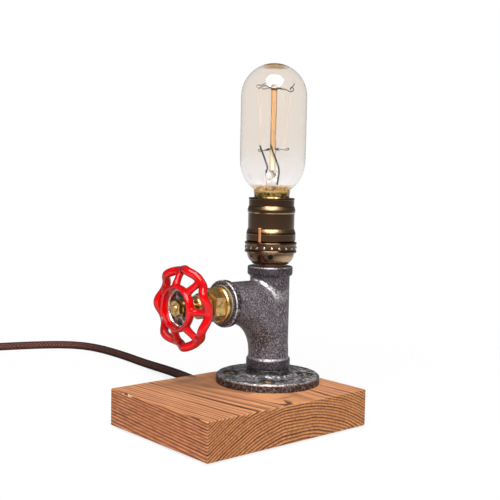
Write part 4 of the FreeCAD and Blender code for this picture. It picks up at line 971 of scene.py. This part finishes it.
def make_bulb_glass():
    """Outside profile: a quarter circle from the top, then the shoulder's points (radius, height
    above the skirt), softened by averaging neighbours.  The inside runs back up, a wall's
    thickness in."""
    top, foot = high("bulb_glass")[2], low("bulb_glass")[2]
    t = np.linspace(0, math.pi / 2, 24)
    dome = np.stack([BULB_RADIUS * np.sin(t), top - BULB_RADIUS + BULB_RADIUS * np.cos(t)], -1)
    shoulder = np.array(BULB_SHOULDER) + (0.0, high("bulb_cap")[2])
    shoulder = np.concatenate([shoulder, [(shoulder[-1, 0], foot)]])
    s = np.linspace(0, len(shoulder) - 1, 33)
    index = np.arange(len(shoulder))
    smooth = np.stack([np.interp(s, index, shoulder[:, 0]), np.interp(s, index, shoulder[:, 1])], -1)
    for _ in range(6):
        smooth[1:-1] = (smooth[:-2] + 2 * smooth[1:-1] + smooth[2:]) / 4
    outside = np.concatenate([dome, smooth])
    slope = unit(np.gradient(outside, axis=0))
    inside = outside + BULB_WALL * np.stack([slope[:, 1], -slope[:, 0]], -1)
    inside[0] = (0.0, top - BULB_WALL)
    outside[0, 0] = 0.0
    points, faces = turned_mesh(np.concatenate([outside, inside[::-1]]), 128)
    new_piece("bulb_envelope", points, [face[::-1] for face in faces], "bulb", "bulb_glass",
              ["bulb_glass"])


WIRES_RIGHT, WIRES_BACK = np.array((0.751, -0.660, 0.0)), np.array((0.660, 0.751, 0.0))


def bent_wire(corners, radius):
    """Wire through corners (right, back, height) in the bulb's own turned frame.  Each side is
    cut at 1/4 and 3/4 of its length, three times over, which rounds the corners."""
    path = np.array(corners, float)
    for _ in range(3):
        cuts = np.stack([0.75 * path[:-1] + 0.25 * path[1:], 0.25 * path[:-1] + 0.75 * path[1:]], 1)
        path = np.concatenate([path[:1], cuts.reshape(-1, 3), path[-1:]])
    place = path[:, :1] * WIRES_RIGHT + path[:, 1:2] * WIRES_BACK + path[:, 2:] * (0.0, 0.0, 1.0)
    return swept_mesh(place + (LAMP_X, LAMP_Y, 0.0), radius, 8)


SPIDER_WIRE, FOOT_WIRE, LEAD_WIRE = 0.30, 0.24, 0.58
TOP_SPIDER = [
    [(0, 0, 0), (-3.5, -1.0, 0.2), (-6.0, -2.0, 1.4), (-8.4, -2.4, 0.6), (-10.4, -2.6, -1.0),
     (-12.2, -2.6, 0.4), (-11.4, -2.8, 1.8), (-9.4, -2.8, 1.0), (-6.4, -2.8, 2.6)],
    [(0, 0, 0), (3.4, -1.0, 0.0), (6.0, -2.0, -0.5), (8.6, -2.4, -1.4), (10.9, -2.6, -3.0),
     (13.2, -2.6, -1.8), (12.6, -2.8, 0.3), (10.5, -2.8, -0.2), (11.2, -2.8, -1.4)],
    [(11.0, -2.7, 0.1), (12.6, -2.8, 1.0), (13.5, -2.8, 3.0)],
    [(0, 0, 0), (-4.0, 5.0, 0.4), (-7.5, 9.0, -0.3), (-8.0, 10.5, 0.8)],
    [(0, 0, 0), (4.0, 5.5, 0.2), (6.5, 9.6, -0.6), (7.6, 10.2, 0.7)],
    [(0, 0, 0), (0.5, -6.0, 0.2), (0.2, -10.5, -0.4), (0.9, -11.6, 0.6)],
]
FOOT_SPIDER = [
    [(0, 0, 0), (-3.4, -1.4, 0.2), (-6.4, -2.0, -0.6), (-9.2, -2.4, -1.7), (-10.4, -2.4, -0.6),
     (-9.2, -2.4, 0.2), (-8.0, -2.4, -0.9)],
    [(0, 0, 0), (2.8, -1.4, 0.5), (6.2, -2.0, 0.4), (9.8, -2.4, -0.4), (11.2, -2.4, 0.5),
     (10.0, -2.4, 1.5), (8.9, -2.4, 0.5)],
    [(0, 0, 0), (-3.5, 4.5, 0.0), (-5.2, 7.2, -0.5)],
    [(0, 0, 0), (3.0, 5.0, 0.0), (4.8, 7.6, -0.5)],
]
LEADS = [
    [(-3.8, -2.6, -0.9), (-4.4, -2.6, 0.3), (-3.1, -1.9, 2.2), (-5.9, -1.8, 9.6), (-8.9, -1.8, 17.4)],
    [(3.4, -4.6, -8.4), (4.7, -4.4, 0.4), (3.2, -3.6, 5.6), (0.6, -3.4, 11.8), (-1.7, -3.2, 18.0)],
]


def make_bulb_wires():
    """Bent spiders at both ends of the rod with small loops at their tips, a knot in the upper
    one and two in the lower one, and two thick leads."""
    crown = high("support_rod")[2] - 1.0
    root = low("lead_wires")[2]
    waist = root + 14.9
    wires = [bent_wire(np.array(line) + (0, 0, crown), SPIDER_WIRE) for line in TOP_SPIDER]
    wires += [bent_wire(np.array(line) + (0, 0, waist), FOOT_WIRE) for line in FOOT_SPIDER]
    knots = [((0.0, 0.0, crown - 0.8), (0.0, 0.0, crown + 0.8), 2.5),
             ((-3.9, -1.5, waist - 0.1), (-2.7, -1.5, waist + 0.3), 0.75),
             ((2.2, -1.5, waist + 0.2), (3.4, -1.5, waist + 0.7), 0.75)]
    wires += [bent_wire((start, end), radius) for start, end, radius in knots]
    new_piece("wire_spiders", *joined(*wires), "bulb", "filament_wire", ["support_wires"])
    leads = [bent_wire(np.array(line) + (0, 0, root), LEAD_WIRE) for line in LEADS]
    new_piece("mount_leads", *joined(*leads), "bulb", "filament_wire", ["lead_wires"])


# ---------------------------------------------------------------- mains lead

ROUTE = (
    (30.4, 52.05, 10.0), (30.4, 76.0, 10.0), (34.6, 99.5, 9.6), (40.2, 121.0, 8.4),
    (46.2, 141.5, 6.6), (51.0, 160.5, 5.0), (54.0, 180.0, 3.9), (55.8, 200.0, 3.6),
    (57.9, 223.0, 3.6), (58.8, 246.0, 3.6), (58.2, 267.0, 3.6), (54.6, 286.0, 3.6),
    (46.4, 300.5, 3.6), (33.6, 311.0, 3.6), (16.0, 320.2, 3.6), (-5.0, 328.2, 3.6),
    (-29.0, 336.0, 3.6), (-58.0, 342.8, 3.6), (-87.3, 346.5, 3.6),
)
COIL_TURNS = 2.66
POINTS_A_TURN = 14
PLUG_HEIGHT = 13.6
PLUG_LENGTH = 36.0
PIN_SPACING = 18.6
PIN_RADIUS = 2.0
PIN_REACH = 15.2


def cord_points():
    """Points in millimetres: the route, then the coil, then the tail.  The coil's angle grows
    evenly while its radius falls by a pitch each turn on the table, then, after a climb within a
    third of a turn, grows back on top of that."""
    radius, pitch, coil = millimetres("cord_radius", "coil_pitch", "coil_radius")
    route = np.array(ROUTE)
    heading = unit(route[-1] - route[-2])
    centre = route[-1] + coil * np.array([-heading[1], heading[0], 0.0])
    start = math.atan2(route[-1, 1] - centre[1], route[-1, 0] - centre[0])
    turned = np.arange(1, int(2 * COIL_TURNS * POINTS_A_TURN) + 1) / POINTS_A_TURN
    reach = coil - pitch * np.minimum(turned, 2 * COIL_TURNS - turned)
    rise = np.clip((turned - COIL_TURNS) * 3.0 + 0.5, 0.0, 1.0)
    angle = start + TAU * turned
    turns = np.stack([centre[0] + reach * np.cos(angle), centre[1] + reach * np.sin(angle),
                      radius + pitch * rise], axis=-1)
    leave = start + 2 * TAU * COIL_TURNS
    out = np.array([math.cos(leave), math.sin(leave), 0.0])
    ahead = np.array([-out[1], out[0], 0.0])
    top = centre + out * coil
    top[2] = radius + pitch
    tail = [top, top + ahead * 19 - out * 0.4 - (0, 0, 0.6),
            top + ahead * 38 - out * 2.0 - (0, 0, 2.2),
            top + ahead * 58 - out * 5.0 - (0, 0, top[2] - PLUG_HEIGHT / 2)]
    return np.concatenate([route, turns, tail])


def make_plug_pins():
    """Two round pins with domed tips, side by side in the direction of the cord's end."""
    before, entry = cord_points()[-2:]
    ahead = unit((entry - before) * (1.0, 1.0, 0.0))
    side = np.array([-ahead[1], ahead[0], 0.0]) * PIN_SPACING / 2
    root = entry * (1.0, 1.0, 0.0) + ahead * (PLUG_LENGTH - 0.5) + (0.0, 0.0, PLUG_HEIGHT / 2)
    pins = [swept_mesh([at, at + ahead * (PIN_REACH + 0.5)], PIN_RADIUS, 24)
            for at in (root - side, root + side)]
    return new_piece("contact_pins", *joined(*pins), "stand", "pin_metal", ["plug_pins"])


def make_mains_lead():
    """One NURBS cord of third order through its points, with its plug's new pins."""
    pins = make_plug_pins()
    points = cord_points() * MM
    curve = bpy.data.curves.new("mains_lead", "CURVE")
    curve.dimensions = "3D"
    curve.bevel_depth = sizes().cord_radius
    curve.bevel_resolution = 5
    curve.resolution_u = 6
    curve.use_fill_caps = True
    spline = curve.splines.new("NURBS")
    spline.points.add(len(points) - 1)
    spline.points.foreach_set("co", np.c_[points, np.ones(len(points))].ravel())
    spline.order_u = 3
    spline.use_endpoint_u = True
    lead = new_object("mains_lead", curve)
    curve.materials.append(finish("braided_textile"))
    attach(lead, "stand")
    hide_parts("cord_lead", "cord_coil", "cord_tail")


# ---------------------------------------------------------------- stage

CAMERA_AT = (-0.39022, -0.45122, 0.16935)
CAMERA_YAW, CAMERA_DOWN, CAMERA_ROLL = 41.32, 4.74, -1.24
CAMERA_LENS = 64.8


def make_camera():
    """Camera aimed by yaw and tilt and then rolled: right becomes cos * right - sin * up."""
    yaw, down, roll = (math.radians(a) for a in (CAMERA_YAW, CAMERA_DOWN, CAMERA_ROLL))
    ahead = Vector((math.sin(yaw) * math.cos(down), math.cos(yaw) * math.cos(down),
                    -math.sin(down)))
    right = Vector((math.cos(yaw), -math.sin(yaw), 0.0))
    up = right.cross(ahead)
    right_rolled = math.cos(roll) * right - math.sin(roll) * up
    up_rolled = math.sin(roll) * right + math.cos(roll) * up
    data = bpy.data.cameras.new("camera")
    data.lens = CAMERA_LENS
    data.sensor_width = 36.0
    camera = new_object("camera", data)
    turn = Matrix((right_rolled, up_rolled, -ahead)).transposed().to_4x4()
    camera.matrix_world = Matrix.Translation(CAMERA_AT) @ turn
    bpy.context.scene.camera = camera


def make_world():
    """White to the camera and through glass, dim grey in reflections, soft light elsewhere."""
    bpy.context.scene.view_settings.view_transform = "Standard"
    world = bpy.data.worlds.new("studio")
    bpy.context.scene.world = world
    net = Net(world)
    camera, glass, glossy = net.rays()
    sky = net.add("ShaderNodeBackground", {
        "Color": (1.0, 1.0, 1.0), "Strength": most(camera, glass, glossy.level(0.55, 0.17))})
    net.node("ShaderNodeOutputWorld", {0: sky})


FLOOR_HALF, FLOOR_GAP = 6.0, 0.0002
SQUARE = ((-1, -1), (1, -1), (1, 1), (-1, 1))


def make_floor():
    """Pale floor, seen as white with a soft shadow that fades out round the object."""
    net = Net.material("stage_floor")
    camera, glass, glossy = net.rays()
    seen = most(camera, glass, glossy * 0.27) * net.reach(0.0, 0.0).level(0.80, 1.0, 0.12, 0.42)
    pale = net.add("ShaderNodeBsdfDiffuse", {
        "Color": net.blend(net.noise(40.0, 2.0, 0.5), (0.80, 0.80, 0.80), (0.79, 0.79, 0.79))})
    glow = net.add("ShaderNodeEmission", {"Color": (1.0, 1.0, 1.0), "Strength": 1.0})
    net.node("ShaderNodeOutputMaterial", {
        "Surface": net.add("ShaderNodeMixShader", {0: seen, 1: pale, 2: glow})})
    mesh = bpy.data.meshes.new("floor")
    mesh.from_pydata([(x * FLOOR_HALF, y * FLOOR_HALF, 0.0) for x, y in SQUARE], [], [(0, 1, 2, 3)])
    floor = new_object("floor", mesh)
    floor.location.z = -FLOOR_GAP
    mesh.materials.append(net.owner)


KEY_PLACE = (228.0, 54.0, 1.3)
LAMPS_AIM = 0.11


def add_lamp(name, place, width, power):
    """Round area lamp aimed just above the tee.  Its place is an azimuth in degrees, counted from
    +X towards +Y, an elevation in degrees and a distance in metres."""
    azimuth, elevation, distance = place
    target = Vector((LAMP_X * MM, LAMP_Y * MM, LAMPS_AIM))
    a, e = math.radians(azimuth), math.radians(elevation)
    out = Vector((math.cos(a) * math.cos(e), math.sin(a) * math.cos(e), math.sin(e)))
    data = bpy.data.lights.new(name, "AREA")
    data.shape = "DISK"
    data.size = width
    data.energy = power
    lamp = new_object(name, data)
    lamp.location = target + out * distance
    lamp.rotation_euler = (-out).to_track_quat("-Z", "Y").to_euler()
    return lamp


def make_lights():
    """One soft lamp; a second in its place is seen only in reflections."""
    add_lamp("key", KEY_PLACE, width=1.1, power=22.0)
    gloss = add_lamp("key_gloss", KEY_PLACE, width=1.15, power=160.0)
    gloss.visible_diffuse = False


# ---------------------------------------------------------------- operators and panel

class LampStage(bpy.types.Operator):
    """Put up the camera, the floor and the soft light"""
    bl_idname = "pipe_lamp.stage"
    bl_label = "Stage"

    def execute(self, context):
        make_camera()
        make_world()
        make_floor()
        make_lights()
        return {"FINISHED"}


class LampMainsLead(bpy.types.Operator):
    """Lay the braided lead from the bush to its coil and finish the plug"""
    bl_idname = "pipe_lamp.mains_lead"
    bl_label = "Mains Lead"

    def execute(self, context):
        make_mains_lead()
        finish_nodes("cord_bush", "plug_body", "cord_tie")
        return {"FINISHED"}


class LampFinishes(bpy.types.Operator):
    """Give every frame node the finish of its own slot, the hidden works included"""
    bl_idname = "pipe_lamp.finishes"
    bl_label = "Finishes of the Frame"

    def execute(self, context):
        finish_nodes(*NODES)
        NODES["flange_screws"].data.materials[0] = finish("screw_head")
        return {"FINISHED"}


class LampTee(bpy.types.Operator):
    """Melt the tee's run, sweep and branch into one casting"""
    bl_idname = "pipe_lamp.tee"
    bl_label = "Tee"

    def execute(self, context):
        make_tee()
        return {"FINISHED"}


class LampHandwheel(bpy.types.Operator):
    """Cast the petalled handwheel"""
    bl_idname = "pipe_lamp.handwheel"
    bl_label = "Handwheel"

    def execute(self, context):
        make_handwheel()
        return {"FINISHED"}


class LampHolder(bpy.types.Operator):
    """Put the studded ring round the lampholder"""
    bl_idname = "pipe_lamp.lampholder"
    bl_label = "Lampholder"

    def execute(self, context):
        make_studded_ring()
        return {"FINISHED"}


class LampBulb(bpy.types.Operator):
    """Blow the bulb's glass and bend the wires inside it"""
    bl_idname = "pipe_lamp.bulb"
    bl_label = "Bulb"

    def execute(self, context):
        make_bulb_glass()
        make_bulb_wires()
        NODES["filament"].data.materials[0] = finish("filament_thread")
        return {"FINISHED"}


STEPS = (LampStage, LampMainsLead, LampFinishes, LampTee, LampHandwheel, LampHolder, LampBulb)


class LampPanel(bpy.types.Panel):
    """Lists the lamp's steps in the order in which they are run"""
    bl_idname = "VIEW3D_PT_pipe_lamp"
    bl_label = "Pipe Lamp"
    bl_space_type = "VIEW_3D"
    bl_region_type = "UI"
    bl_category = "Pipe Lamp"

    def draw(self, context):
        for step in STEPS:
            self.layout.operator(step.bl_idname)
        for group in (context.scene.pipe_lamp_sizes, context.scene.pipe_lamp_colours):
            for name in group.__annotations__:
                self.layout.prop(group, name)


CLASSES = (LampSizes, LampColours) + STEPS + (LampPanel,)


def register():
    for kind in CLASSES:
        bpy.utils.register_class(kind)
    bpy.types.Scene.pipe_lamp_sizes = PointerProperty(type=LampSizes)
    bpy.types.Scene.pipe_lamp_colours = PointerProperty(type=LampColours)


def unregister():
    del bpy.types.Scene.pipe_lamp_sizes
    del bpy.types.Scene.pipe_lamp_colours
    for kind in reversed(CLASSES):
        bpy.utils.unregister_class(kind)


def main():
    register()
    bpy.ops.pipe_lamp.stage()
    bpy.ops.pipe_lamp.mains_lead()
    bpy.ops.pipe_lamp.finishes()
    bpy.ops.pipe_lamp.tee()
    bpy.ops.pipe_lamp.handwheel()
    bpy.ops.pipe_lamp.lampholder()
    bpy.ops.pipe_lamp.bulb()


if __name__ == "__main__":
    main()
